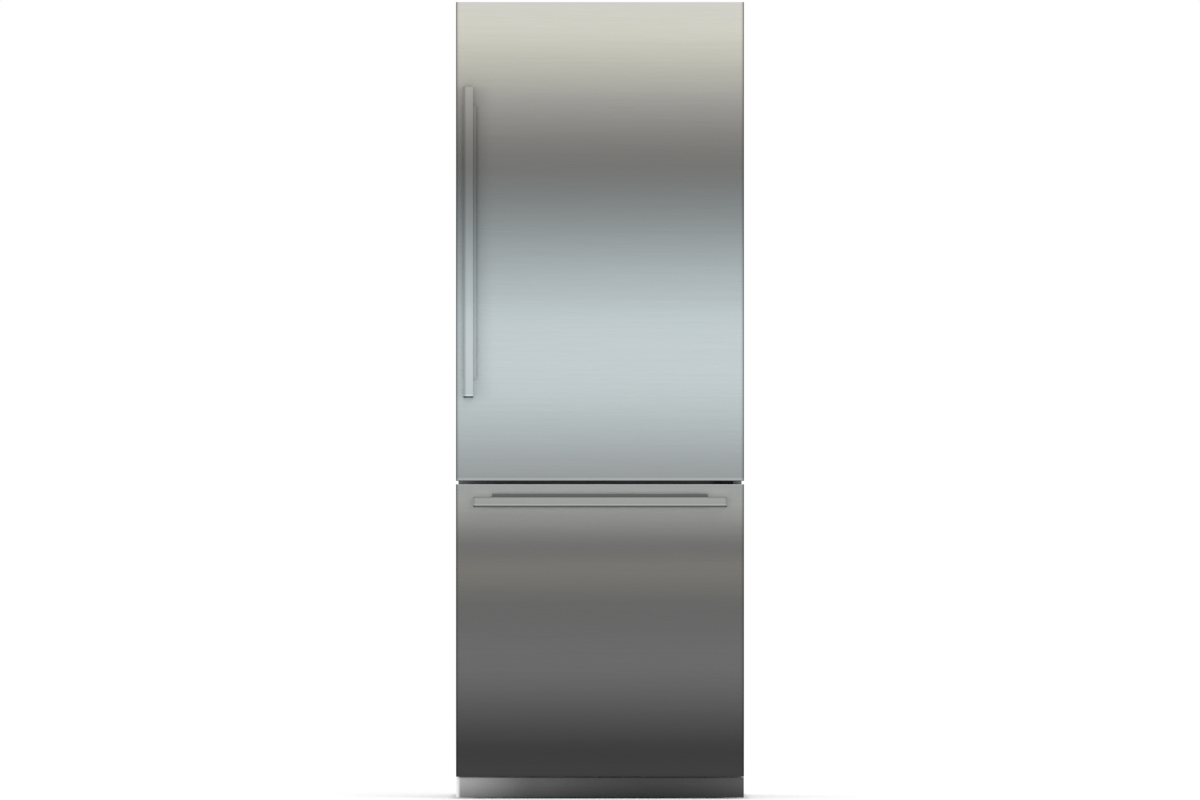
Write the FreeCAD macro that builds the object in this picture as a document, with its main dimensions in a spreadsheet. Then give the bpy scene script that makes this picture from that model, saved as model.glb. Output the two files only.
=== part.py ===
"""Built-in refrigerator: an upper door hinged on the right over a freezer drawer.

The frame stands on the floor at z = 0, +Z is up, the front faces -Y and the hinges are at +X.
The origin is on the floor, in the middle of the width and of the whole depth, handles included.
All lengths are in millimetres.
"""

import FreeCAD, Part
import math
import os
from collections import namedtuple

import Sketcher

Vector = FreeCAD.Vector
Circle = namedtuple("Circle", "x y radius")
Dike = namedtuple("Dike", "side low high depth width")

# Driving dimensions
SIZES = {
    # Envelope of the whole appliance
    "panel_width": 762,
    "panel_overhang": 6,
    "cabinet_depth": 540,
    "gasket_gap": 6,
    "body_depth": 45,
    "panel_depth": 20,
    "handle_reach": 48,
    "drawer_bottom": 58,
    "drawer_height": 774,
    "panel_gap": 9,
    "door_height": 1267,
    "top_clearance": 18,
    # Cabinet walls and compartments
    "ground_clearance": 44,
    "base_sheet": 2,
    "base_rim": 30,
    "machine_height": 167,
    "shell_sheet": 1,
    "rear_corner": 8,
    "bead_width": 26,
    "bead_depth": 3,
    "bead_bottom_gap": 130,
    "bead_top_gap": 110,
    "cabinet_wall": 50,
    "floor_insulation": 47,
    "mullion_drop": 42,
    "mullion_height": 92,
    "liner_wall": 2.5,
    "liner_flange": 20,
    "liner_corner": 20,
    "cut_overrun": 1,
    # Shelf rails and floor ribs formed in the upper liner
    "rail_width": 8,
    "rail_thickness": 6,
    "rail_level": 203,
    "rail_top_gap": 145,
    "rib_width": 10,
    "rib_height": 6,
    "rib_inset": 40,
    # Toe kick
    "kick_overhang": 2,
    "kick_floor_gap": 2,
    "kick_top_gap": 2,
    "kick_setback": 34,
    "kick_sheet": 1.5,
    # Machine compartment cover at the rear
    "cover_sheet": 1,
    "cover_recess": 4,
    "louvre_bridge": 10,
    "louvre_height": 4,
    "louvre_pitch": 10,
    "louvre_inset": 92,
    "louvre_inlet_gap": 140,
    "louvre_level": 60,
    # Power inlet
    "inlet_width": 48,
    "inlet_height": 28,
    "inlet_depth": 24,
    "inlet_flange": 3,
    "inlet_wall": 3,
    "inlet_inset": 95,
    "inlet_rise": 44,
    "blade_width": 4,
    "blade_height": 2,
    "blade_length": 16,
    "blade_spacing": 7,
    # Feet and rollers
    "support_inset": 55,
    "foot_inset": 46,
    "foot_radius": 20,
    "foot_height": 8,
    "stem_radius": 6,
    "stem_length": 54,
    "nut_across": 16,
    "nut_height": 8,
    "roller_inset": 60,
    "roller_radius": 19,
    "roller_width": 16,
    "roller_groove": 2,
    "axle_radius": 4,
    "cheek_sheet": 2,
    "running_clearance": 0.05,
    "side_play": 0.5,
    # Compressor and what it stands on
    "compressor_inset": 205,
    "compressor_setback": 159.5,
    "compressor_radius": 74,
    "compressor_height": 128,
    "compressor_round": 32,
    "seam_width": 3,
    "seam_height": 6,
    "plate_length": 196,
    "plate_width": 120,
    "plate_sheet": 3,
    "mount_radius": 12,
    "mount_waist": 8,
    "mount_height": 16,
    "mount_inset": 16,
    "terminal_width": 46,
    "terminal_height": 44,
    "terminal_depth": 30,
    # Drip tray over the compressor
    "drip_length": 200,
    "drip_width": 150,
    "drip_height": 14,
    "drip_wall": 2,
    "drip_corner": 10,
    # Control box
    "box_length": 170,
    "box_width": 110,
    "box_height": 60,
    "box_inset": 145,
    "box_setback": 139.5,
    "lid_height": 8,
    "lid_lip": 3,
    # Condenser: a serpentine tube between upright wires
    "condenser_inset": 210,
    "condenser_setback": 80.5,
    "condenser_length": 280,
    "condenser_pitch": 24,
    "condenser_rise": 16,
    "tube_radius": 4,
    "wire_size": 2,
    "wire_overhang": 6,
    # Lines from the compressor to the condenser
    "line_radius": 4,
    "line_bend": 12,
    "line_offset": 30,
    "line_clearance": 30,
    "port_drop": 6,
    "braze_depth": 1.5,
    "drier_radius": 11,
    "drier_length": 90,
    "drier_setback": 110,
    "drier_round": 4,
    # Condenser fan and its shroud
    "shroud_setback": 114.5,
    "shroud_sheet": 2,
    "shroud_width": 170,
    "shroud_height": 150,
    "shroud_rim": 14,
    "big_fan_radius": 60,
    "big_fan_depth": 26,
    # Compartment fans
    "small_fan_radius": 46,
    "small_fan_depth": 18,
    "fan_tip_gap": 4,
    "fan_bore_radius": 2.5,
    "blade_sheet": 1.6,
    "motor_radius": 17,
    "motor_depth": 14,
    "arm_width": 6,
    "arm_margin": 1,
    "fan_gap": 1.5,
    # Duct covers at the rear of the compartments
    "duct_depth": 52,
    "duct_side_gap": 12,
    "duct_sheet": 2.5,
    "freezer_duct_low": 20,
    "freezer_duct_top_gap": 8,
    "fridge_duct_low": 230,
    "fridge_duct_top_gap": 24,
    "freezer_fan_drop": 100,
    "fridge_fan_drop": 160,
    "vent_bridge": 14,
    "vent_height": 6,
    "vent_pitch": 14,
    "vent_side_gap": 100.5,
    "freezer_vent_rise": 70,
    "fridge_vent_rise": 358,
    # Evaporators
    "coil_side_gap": 112.5,
    "coil_pitch": 30,
    "coil_tube_radius": 4,
    "coil_depth": 36,
    "coil_fin_sheet": 1,
    "coil_fin_margin": 14,
    "freezer_coil_rise": 120,
    "fridge_coil_rise": 518,
    # Lights and the touch panel
    "light_width": 14,
    "light_thickness": 4,
    "light_setback": 46,
    "light_rise": 228,
    "light_drop": 50,
    "control_width": 300,
    "control_depth": 34,
    "control_height": 18,
    "control_setback": 36,
    "control_round": 5,
    # Shelves
    "shelf_setback": 112,
    "shelf_rear_gap": 6,
    "shelf_side_gap": 2.5,
    "glass_thickness": 4.5,
    "glass_corner": 6,
    "trim_height": 12,
    "trim_depth": 14,
    "trim_wall": 2,
    # Crisper drawers
    "crisper_setback": 134,
    "crisper_rear_gap": 23.5,
    "crisper_height": 172,
    "crisper_gap": 6,
    "crisper_side_gap": 5,
    "crisper_wall": 2.5,
    "crisper_corner": 14,
    "crisper_grip_width": 120,
    "crisper_grip_depth": 16,
    "rest_gap": 0.3,
    # Door and drawer bodies behind their steel panels
    "body_top_inset": 24,
    "body_bottom_inset": 14,
    "body_wall": 2,
    "panel_sheet": 1.5,
    "panel_return": 40,
    "panel_edge_round": 1.4,
    "dike_depth": 30,
    "dike_width": 22,
    "dike_side_gap": 18,
    "dike_bottom_gap": 22,
    "dike_top_gap": 34,
    "drawer_dike_depth": 16,
    "drawer_dike_side_gap": 32.5,
    "drawer_dike_gap": 22,
    # Gaskets
    "gasket_edge": 14,
    "gasket_inset": 2.2,
    "gasket_width": 20,
    "gasket_foot": 2.2,
    "gasket_bulb": 12,
    # Hinges
    "pivot_inset": 20,
    "pivot_setback": 10,
    "pin_radius": 6,
    "pin_length": 28,
    "boss_radius": 9,
    "hinge_plate": 4,
    "hinge_width": 62,
    "hinge_run": 70,
    "hinge_offset": 8,
    "hinge_foot": 3,
    "hinge_foot_height": 26,
    "bush_wall": 3,
    "bush_flange": 3.5,
    "bush_flange_radius": 13,
    # Handles
    "bar_width": 26,
    "bar_thickness": 10,
    "bracket_length": 50,
    "bar_round": 1,
    "door_handle_length": 822,
    "door_handle_rise": 220,
    "door_handle_inset": 32.5,
    "drawer_handle_margin": 45.5,
    "drawer_handle_drop": 47.5,
    "grip_proud": 9,
    "grip_thickness": 9,
    "grip_cover": 14,
    "grip_round": 2,
    # Door bins
    "bin_height": 90,
    "bin_depth": 88,
    "bin_wall": 3,
    "bin_corner": 16,
    "bin_side_gap": 6.5,
    "bin_rise": 268,
    "bin_top_margin": 20,
    "lug_depth": 14,
    "lug_height": 34,
    "lug_setback": 8,
    "lug_drop": 30,
    "hook_thickness": 6,
    # Drawer runners
    "runner_rise": 70,
    "runner_rear_gap": 9.5,
    "runner_setback": 6,
    "runner_height": 46,
    "runner_sheet": 1.8,
    "runner_gap": 0.5,
    "runner_depth": 18,
    "arm_sheet": 2,
    "arm_height": 34,
    "arm_ear_width": 30,
    "arm_ear_margin": 10,
    "front_foot_height": 96,
    "ledge_width": 18,
    # Stabiliser: a cross shaft with pinions on two racks
    "gear_module": 3,
    "rack_base": 3,
    "rack_offset": 2,
    "gear_width": 8,
    "gear_backlash": 0.3,
    "shaft_radius": 4,
    "shaft_rear_gap": 26,
    # Freezer basket and the tray that slides on its rim
    "basket_height": 270,
    "basket_front_gap": 6,
    "basket_rear_gap": 10,
    "basket_side_gap": 2.5,
    "basket_wall": 3,
    "basket_corner": 18,
    "basket_rim": 10,
    "basket_rim_height": 5,
    "tray_depth": 240,
    "tray_height": 80,
    "tray_wall": 2.5,
    "tray_corner": 12,
    "tray_side_gap": 2,
    "tray_rim": 12,
    "tray_rim_height": 4,
    "tray_front_gap": 4,
    # Wall bracket on the cabinet's top
    "bracket_width": 180,
    "bracket_depth": 60,
    "bracket_sheet": 2,
    "bracket_upright": 15,
    "bracket_hole_radius": 2.75,
    "bracket_hole_spacing": 120,
}

# Counts
BEAD_COUNT = 4
RAIL_COUNT = 10
SHELF_RAILS = (3, 5, 7)
LOUVRE_ROWS = 6
LOUVRE_COLUMNS = 6
VENT_ROWS = 4
VENT_COLUMNS = 5
TUBE_PASSES = 6
WIRE_COUNT = 14
COIL_PASSES = 4
COIL_FINS = 9
BLADE_COUNT = 5
BLADE_STATIONS = 3
FAN_ARMS = 3
BIN_COUNT = 3
GEAR_TEETH = 12
FLANK_POINTS = 4

# Angles in degrees
HUB_BLADE_ANGLE = 52
TIP_BLADE_ANGLE = 26
PRESSURE_ANGLE = 20

# Shares of a length that a feature takes
HUB_SHARE = 0.34
ROOT_SHARE = 0.94
CHORD_SHARES = (0.62, 0.86, 1.02)
BEND_SHARE = 0.98
FORK_DROP_SHARE = 1.8
FOOT_EDGE_SHARE = 0.45
FOOT_NECK_SHARE = 1.6
SEAM_SHARE = 0.58
DEDENDUM_SHARE = 1.25

AXIS_PLANES = {"X": "YZ_Plane", "Y": "XZ_Plane", "Z": "XY_Plane"}
AXIS_VECTORS = {"X": Vector(1, 0, 0), "Y": Vector(0, 1, 0), "Z": Vector(0, 0, 1)}

document = FreeCAD.newDocument("BuiltInRefrigerator")
sheet = document.addObject("Spreadsheet::Sheet", "Sizes")
for row, (alias, size) in enumerate(SIZES.items(), start=1):
    sheet.set(f"A{row}", alias)
    sheet.set(f"B{row}", str(size))
    sheet.setAlias(f"B{row}", alias)
document.recompute()

nodes = {}
cuts = []


class Length:
    """A length that knows its value and the formula on the sheet that gives it."""

    def __init__(self, value, formula):
        self.value = float(value)
        self.formula = formula

    def __float__(self):
        return self.value

    def __neg__(self):
        return Length(-self.value, f"-({self.formula})")

    def __add__(self, other):
        other = as_length(other)
        return Length(self.value + other.value, f"({self.formula} + {other.formula})")

    def __sub__(self, other):
        other = as_length(other)
        return Length(self.value - other.value, f"({self.formula} - {other.formula})")

    def __mul__(self, share):
        return Length(self.value * share, f"({self.formula}) * {share}")

    def __truediv__(self, share):
        return Length(self.value / share, f"({self.formula}) / {share}")

    __radd__ = __add__
    __rmul__ = __mul__


def as_length(number):
    return number if isinstance(number, Length) else Length(number, str(number))


class Driving:
    """Reads the sheet: each alias is an attribute."""

    def __getattr__(self, name):
        return Length(sheet.get(name), f"Sizes.{name}")


d = Driving()
ZERO = as_length(0)

# Planes across the depth, from the rear to the front
cabinet_back = (d.cabinet_depth + d.gasket_gap + d.body_depth + d.panel_depth + d.handle_reach) / 2
cabinet_front = cabinet_back - d.cabinet_depth
body_rear = cabinet_front - d.gasket_gap
body_front = body_rear - d.body_depth
panel_front = body_front - d.panel_depth
handle_front = panel_front - d.handle_reach
liner_back = cabinet_back - d.cabinet_wall
inner_back = liner_back - d.liner_wall
duct_front = inner_back - d.duct_depth
compressor_y = cabinet_back - d.compressor_setback
box_y = cabinet_back - d.box_setback
condenser_y = cabinet_front + d.condenser_setback
shroud_y = cabinet_front + d.shroud_setback

# Planes across the width
panel_side = d.panel_width / 2
cabinet_side = panel_side - d.panel_overhang
liner_side = cabinet_side - d.cabinet_wall
inner_side = liner_side - d.liner_wall
flange_side = liner_side + d.liner_flange
support_x = cabinet_side - d.support_inset
compressor_x = cabinet_side - d.compressor_inset
box_x = d.box_inset - cabinet_side
condenser_x = d.condenser_inset - cabinet_side
inlet_x = cabinet_side - d.inlet_inset

# Levels
drawer_top = d.drawer_bottom + d.drawer_height
door_bottom = drawer_top + d.panel_gap
door_top = door_bottom + d.door_height
cabinet_top = door_top - d.top_clearance
machine_floor = d.ground_clearance + d.base_sheet
machine_ceiling = machine_floor + d.machine_height
seam_level = machine_floor + d.mount_height + d.compressor_height * SEAM_SHARE
freezer_floor = machine_ceiling + d.floor_insulation
freezer_ceiling = drawer_top - d.mullion_drop
fridge_floor = freezer_ceiling + d.mullion_height
fridge_ceiling = cabinet_top - d.cabinet_wall
first_rail = fridge_floor + d.rail_level
rail_spacing = (fridge_ceiling - d.rail_top_gap - first_rail) / (RAIL_COUNT - 1)
bin_level = fridge_floor + d.bin_rise
bin_spacing = (fridge_ceiling - d.bin_top_margin - bin_level) / BIN_COUNT
inlet_level = machine_floor + d.inlet_rise
condenser_level = machine_floor + d.condenser_rise
runner_level = freezer_floor + d.runner_rise


# Helpers that bind features to the sheet

def bind(target, property_name, length):
    length = as_length(length)
    if "Sizes." in length.formula:
        target.setExpression(property_name, length.formula)
    else:
        target.setExpression(property_name, f"{length.value}")


def new_body(label):
    body = document.addObject("PartDesign::Body", label)
    body.Label = label
    nodes[label] = body
    return body


def place(body, x=ZERO, y=ZERO, z=ZERO):
    bind(body, "Placement.Base.x", x)
    bind(body, "Placement.Base.y", y)
    bind(body, "Placement.Base.z", z)


def add_shape(label, shape):
    node = document.addObject("Part::Feature", label)
    node.Label = label
    node.Shape = shape
    nodes[label] = node
    return node


def origin_feature(body, role):
    return next(item for item in body.Origin.OriginFeatures if item.Role == role)


def rectangle(x_low, x_high, y_low, y_high):
    return [(x_low, y_low), (x_high, y_low), (x_high, y_high), (x_low, y_high)]


def centred(half_width, y_low, y_high):
    return rectangle(-half_width, half_width, y_low, y_high)


def draw_circle(sketch, circle):
    centre = Vector(circle.x, circle.y, 0)
    index = sketch.addGeometry(Part.Circle(centre, Vector(0, 0, 1), float(circle.radius)), False)
    number = sketch.addConstraint(Sketcher.Constraint("Radius", index, float(circle.radius)))
    bind(sketch, f"Constraints[{number}]", circle.radius)
    for kind, length in (("DistanceX", circle.x), ("DistanceY", circle.y)):
        number = sketch.addConstraint(Sketcher.Constraint(kind, -1, 1, index, 3, float(length)))
        bind(sketch, f"Constraints[{number}]", length)


def draw_polygon(sketch, points):
    """Draws a closed outline. Equal neighbouring coordinates share one dimension."""
    points = [(as_length(x), as_length(y)) for x, y in points]
    first = sketch.GeometryCount
    count = len(points)
    for here, there in zip(points, points[1:] + points[:1]):
        sketch.addGeometry(Part.LineSegment(Vector(*here, 0), Vector(*there, 0)), False)
    for index in range(count):
        following = first + (index + 1) % count
        sketch.addConstraint(Sketcher.Constraint("Coincident", first + index, 2, following, 1))
    for side, kind, straight in ((0, "DistanceX", "Vertical"), (1, "DistanceY", "Horizontal")):
        formulas = [point[side].formula for point in points]
        start = next(index for index in range(count) if formulas[index] != formulas[index - 1])
        for step in range(count):
            index = (start + step) % count
            before = (index - 1) % count
            if formulas[index] == formulas[before]:
                sketch.addConstraint(Sketcher.Constraint(straight, first + before))
                continue
            length = points[index][side]
            number = sketch.addConstraint(
                Sketcher.Constraint(kind, -1, 1, first + index, 1, float(length)))
            bind(sketch, f"Constraints[{number}]", length)


def new_sketch(body, axis, level, outlines):
    """A sketch square to an axis of the body, at a level along that axis."""
    sketch = body.newObject("Sketcher::SketchObject", "Outline")
    sketch.AttachmentSupport = [(origin_feature(body, AXIS_PLANES[axis]), "")]
    sketch.MapMode = "FlatFace"
    bind(sketch, "AttachmentOffset.Base.z", -level if axis == "Y" else level)
    for outline in outlines:
        if isinstance(outline, Circle):
            draw_circle(sketch, outline)
        else:
            draw_polygon(sketch, outline)
    return sketch


def pad(body, axis, low, high, *outlines):
    """Adds material between two levels along an axis."""
    low, high = as_length(low), as_length(high)
    feature = body.newObject("PartDesign::Pad", "Pad")
    feature.Profile = new_sketch(body, axis, high if axis == "Y" else low, outlines)
    bind(feature, "Length", high - low)
    body.Tip = feature
    return feature


def pocket(body, axis, low, high, *outlines):
    """Removes material between two levels along an axis."""
    low, high = as_length(low), as_length(high)
    feature = body.newObject("PartDesign::Pocket", "Pocket")
    feature.Profile = new_sketch(body, axis, low if axis == "Y" else high, outlines)
    bind(feature, "Length", high - low)
    body.Tip = feature
    cuts.append(feature)
    return feature


def repeat(body, feature, axis, length, count):
    pattern = body.newObject("PartDesign::LinearPattern", "Pattern")
    pattern.Originals = [feature]
    pattern.Direction = (origin_feature(body, f"{axis}_Axis"), [""])
    bind(pattern, "Length", length)
    pattern.Occurrences = count
    body.Tip = pattern
    return pattern


def revolve(body, points):
    """Turns an outline of (radius, height) points about the body's Z axis."""
    feature = body.newObject("PartDesign::Revolution", "Revolution")
    feature.Profile = new_sketch(body, "Y", ZERO, [points])
    feature.ReferenceAxis = (origin_feature(body, "Z_Axis"), [""])
    feature.Angle = 360
    body.Tip = feature
    return feature


def runs_along(edge, axis):
    if not isinstance(edge.Curve, Part.Line):
        return False
    return abs(edge.Curve.Direction.dot(AXIS_VECTORS[axis])) > 1 - 1e-6


def round_edges(body, radius, chosen):
    """Fillets the edges of the body so far that the test picks."""
    document.recompute()
    base = body.Tip
    edges = enumerate(base.Shape.Edges, start=1)
    names = [f"Edge{number}" for number, edge in edges if chosen(edge)]
    fillet = body.newObject("PartDesign::Fillet", "Fillet")
    fillet.Base = (base, names)
    bind(fillet, "Radius", radius)
    body.Tip = fillet
    return fillet


def hollow(body, wall, chosen):
    """Shells the body inwards and opens the faces that the test picks."""
    document.recompute()
    base = body.Tip
    faces = enumerate(base.Shape.Faces, start=1)
    names = [f"Face{number}" for number, face in faces if chosen(face)]
    shell = body.newObject("PartDesign::Thickness", "Shell")
    shell.Base = (base, names)
    bind(shell, "Value", wall)
    shell.Reversed = True
    body.Tip = shell
    return shell


def near(value, length):
    return abs(value - float(length)) < 1e-4


def lies_at(face, axis, level):
    box = face.BoundBox
    low = {"X": box.XMin, "Y": box.YMin, "Z": box.ZMin}[axis]
    high = {"X": box.XMax, "Y": box.YMax, "Z": box.ZMax}[axis]
    return near(low, level) and near(high, level)


# Helpers that compute shapes

def block(x_low, x_high, y_low, y_high, z_low, z_high):
    corner = Vector(x_low, y_low, z_low)
    return Part.makeBox(float(x_high - x_low), float(y_high - y_low), float(z_high - z_low), corner)


def rod(radius, start, end):
    along = end - start
    return Part.makeCylinder(float(radius), along.Length, start, along)


def bent_tube(points, radius, bend):
    """A tube through corner points, with an arc of one radius at each inner corner."""
    points = [Vector(*point) for point in points]
    edges = []
    here = points[0]
    for before, corner, after in zip(points, points[1:], points[2:]):
        towards = (before - corner).normalize()
        onwards = (after - corner).normalize()
        half_turn = (math.pi - towards.getAngle(onwards)) / 2
        setback = float(bend) * math.tan(half_turn)
        begin = corner + towards * setback
        finish = corner + onwards * setback
        middle = (towards + onwards).normalize()
        reach = float(bend) / math.cos(half_turn) - float(bend)
        if (begin - here).Length > 1e-3:
            edges.append(Part.LineSegment(here, begin).toShape())
        edges.append(Part.Arc(begin, corner + middle * reach, finish).toShape())
        here = finish
    edges.append(Part.LineSegment(here, points[-1]).toShape())
    path = Part.Wire(edges)
    first = points[1] - points[0]
    section = Part.Wire([Part.makeCircle(float(radius), points[0], first)])
    return path.makePipeShell([section], True, False)


def serpentine(passes, length, pitch):
    """Corner points of a tube that runs to and fro along X and climbs along Z."""
    reach = float(length) / 2
    side = -1
    points = [(-reach, 0, 0)]
    for turn in range(passes):
        side = -side
        points.append((side * reach, 0, turn * float(pitch)))
        if turn < passes - 1:
            points.append((side * reach, 0, (turn + 1) * float(pitch)))
    return points


def axial_fan(radius, depth, bore):
    """A fan on the Y axis: a cupped hub and twisted blades."""
    hub_radius = float(radius) * HUB_SHARE
    hub = Part.makeCylinder(hub_radius, float(depth), Vector(0, 0, 0), Vector(0, 1, 0))
    blades = []
    for number in range(BLADE_COUNT):
        blade = twisted_blade(hub_radius * ROOT_SHARE, float(radius), float(depth))
        blade.rotate(Vector(0, 0, 0), Vector(0, 1, 0), 360 * number / BLADE_COUNT)
        blades.append(blade)
    fan = hub.multiFuse(blades)
    hole = Part.makeCylinder(float(bore), float(depth), Vector(0, 0, 0), Vector(0, 1, 0))
    return fan.cut(hole)


def twisted_blade(root, tip, depth):
    """One blade: flat sections turned from a steep root to a shallow tip."""
    half_sheet = float(d.blade_sheet) / 2
    sections = []
    for station in range(BLADE_STATIONS):
        share = station / (BLADE_STATIONS - 1)
        reach = root + (tip - root) * share
        angle = math.radians(HUB_BLADE_ANGLE + (TIP_BLADE_ANGLE - HUB_BLADE_ANGLE) * share)
        half_chord = depth * CHORD_SHARES[station] / 2
        rise = min(half_chord * math.sin(angle), depth / 2 - half_sheet)
        half_chord = rise / math.sin(angle)
        along = Vector(0, math.sin(angle), math.cos(angle)) * half_chord
        across = Vector(0, math.cos(angle), -math.sin(angle)) * half_sheet
        centre = Vector(reach, depth / 2, 0)
        corners = [centre - along - across, centre + along - across,
                   centre + along + across, centre - along + across]
        sections.append(Part.makePolygon(corners + corners[:1]))
    return Part.makeLoft(sections, True, True)


def fan_carrier(radius, depth, bore):
    """What carries a fan behind a plate at y = 0: three bent arms, the motor and its shaft."""
    inner = radius + d.fan_tip_gap + d.arm_margin
    outer = inner + d.arm_width
    half_width = d.arm_width / 2
    motor_front = d.fan_gap + depth + d.fan_gap
    motor_back = motor_front + d.motor_depth
    motor = rod(d.motor_radius, Vector(0, motor_front, 0), Vector(0, motor_back, 0))
    shaft = rod(bore - d.running_clearance, Vector(0, d.fan_gap, 0), Vector(0, motor_front, 0))
    arms = []
    for number in range(FAN_ARMS):
        spoke = block(ZERO, outer, motor_front, motor_front + d.arm_width, -half_width, half_width)
        post = block(inner, outer, -d.shroud_sheet / 2, motor_front, -half_width, half_width)
        arm = spoke.fuse(post)
        arm.rotate(Vector(0, 0, 0), Vector(0, 1, 0), 90 + 360 * number / FAN_ARMS)
        arms.append(arm)
    return motor.multiFuse([shaft] + arms)


def moved(shape, x, y, z):
    copy = shape.copy()
    copy.translate(Vector(x, y, z))
    return copy


# Cabinet

def make_outer_shell():
    """The folded steel wrapper: sides, top, a deck over the machine compartment, front flanges."""
    body = new_body("outer_shell")
    chamber_side = cabinet_side - d.shell_sheet
    deck_top = machine_ceiling + d.shell_sheet
    ceiling = cabinet_top - d.shell_sheet
    rear = cabinet_back - d.shell_sheet
    pad(body, "Y", cabinet_front, rear, centred(cabinet_side, d.ground_clearance, cabinet_top))
    pocket(body, "Y", cabinet_front + d.shell_sheet, rear + d.cut_overrun,
           centred(chamber_side, deck_top, ceiling))
    pocket(body, "Y", cabinet_front - d.cut_overrun, cabinet_front + d.shell_sheet,
           centred(flange_side, deck_top, fridge_ceiling + d.liner_flange))
    pocket(body, "Y", cabinet_front - d.cut_overrun, rear + d.cut_overrun,
           centred(chamber_side, d.ground_clearance - d.cut_overrun, machine_ceiling))


def bead_outlines(margin):
    """The upright beads pressed into the rear panel, grown by a margin."""
    half = d.bead_width / 2 + margin
    low = machine_ceiling + d.bead_bottom_gap - margin
    high = cabinet_top - d.bead_top_gap + margin
    spacing = cabinet_side * 2 / (BEAD_COUNT + 1)
    centres = [spacing * (number + 1) - cabinet_side for number in range(BEAD_COUNT)]
    return [rectangle(x - half, x + half, low, high) for x in centres]


def make_rear_panel():
    """The rear sheet, with upright beads pressed in that stiffen it."""
    body = new_body("rear_panel")
    inner = cabinet_back - d.shell_sheet
    pad(body, "Y", inner, cabinet_back, centred(cabinet_side, machine_ceiling, cabinet_top))
    round_edges(body, d.rear_corner, lambda edge: runs_along(edge, "Y"))
    crest = inner - d.bead_depth
    floor = cabinet_back - d.bead_depth
    pad(body, "Y", crest, inner, *bead_outlines(d.shell_sheet))
    pocket(body, "Y", floor, cabinet_back + d.cut_overrun, *bead_outlines(ZERO))
    half = d.bead_width / 2
    for level, radius in ((floor, half), (crest, half + d.shell_sheet)):
        round_edges(body, radius * BEND_SHARE,
                    lambda edge: runs_along(edge, "Y") and near(edge.BoundBox.YMin, level))


def make_cabinet_foam():
    body = new_body("cabinet_foam")
    foam_front = cabinet_front + d.liner_wall
    pad(body, "Y", foam_front, cabinet_back - d.shell_sheet,
        centred(cabinet_side - d.shell_sheet, machine_ceiling + d.shell_sheet,
                cabinet_top - d.shell_sheet))
    for low, high in ((freezer_floor, freezer_ceiling), (fridge_floor, fridge_ceiling)):
        pocket(body, "Y", foam_front - d.cut_overrun, liner_back, centred(liner_side, low, high))
    foam_back = cabinet_back - d.shell_sheet
    pocket(body, "Y", foam_back - d.bead_depth, foam_back + d.cut_overrun,
           *bead_outlines(d.shell_sheet))


def make_liner(label, low, high):
    """A formed plastic liner: rounded corners, an open front and a flange round the opening."""
    body = new_body(label)
    pad(body, "Y", cabinet_front, liner_back, centred(liner_side, low, high))
    round_edges(body, d.liner_corner, lambda edge: runs_along(edge, "Y"))
    hollow(body, d.liner_wall, lambda face: lies_at(face, "Y", cabinet_front))
    inner_low = low + d.liner_wall
    inner_high = high - d.liner_wall
    pad(body, "Y", cabinet_front, cabinet_front + d.liner_wall,
        centred(flange_side, low - d.liner_flange, high + d.liner_flange),
        centred(inner_side, inner_low, inner_high))
    return body


def make_fridge_liner():
    body = make_liner("fridge_liner", fridge_floor, fridge_ceiling)
    rail_front = cabinet_front + d.shelf_setback
    wall = inner_side + d.liner_wall / 2
    rail = pad(body, "Y", rail_front, duct_front,
               rectangle(-wall, -inner_side + d.rail_width, first_rail, first_rail + d.rail_thickness),
               rectangle(inner_side - d.rail_width, wall, first_rail, first_rail + d.rail_thickness))
    repeat(body, rail, "Z", rail_spacing * (RAIL_COUNT - 1), RAIL_COUNT)
    floor = fridge_floor + d.liner_wall
    ribs = []
    for centre in rib_places():
        ribs.append(rectangle(centre - d.rib_width / 2, centre + d.rib_width / 2,
                              floor - d.liner_wall / 2, floor + d.rib_height))
    pad(body, "Y", rail_front, duct_front, *ribs)


def rib_places():
    """Two floor ribs under each crisper, from left to right."""
    near_middle = d.crisper_gap / 2 + d.rib_inset
    near_side = inner_side - d.crisper_side_gap - d.rib_inset
    return [-near_side, -near_middle, near_middle, near_side]


def make_front_rails():
    """Steel rails between the liners' flanges: one at the mullion, one below the freezer."""
    body = new_body("front_rails")
    pad(body, "Y", cabinet_front, cabinet_front + d.liner_wall,
        centred(flange_side, freezer_ceiling + d.liner_flange, fridge_floor - d.liner_flange),
        centred(flange_side, machine_ceiling + d.shell_sheet, freezer_floor - d.liner_flange))


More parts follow.
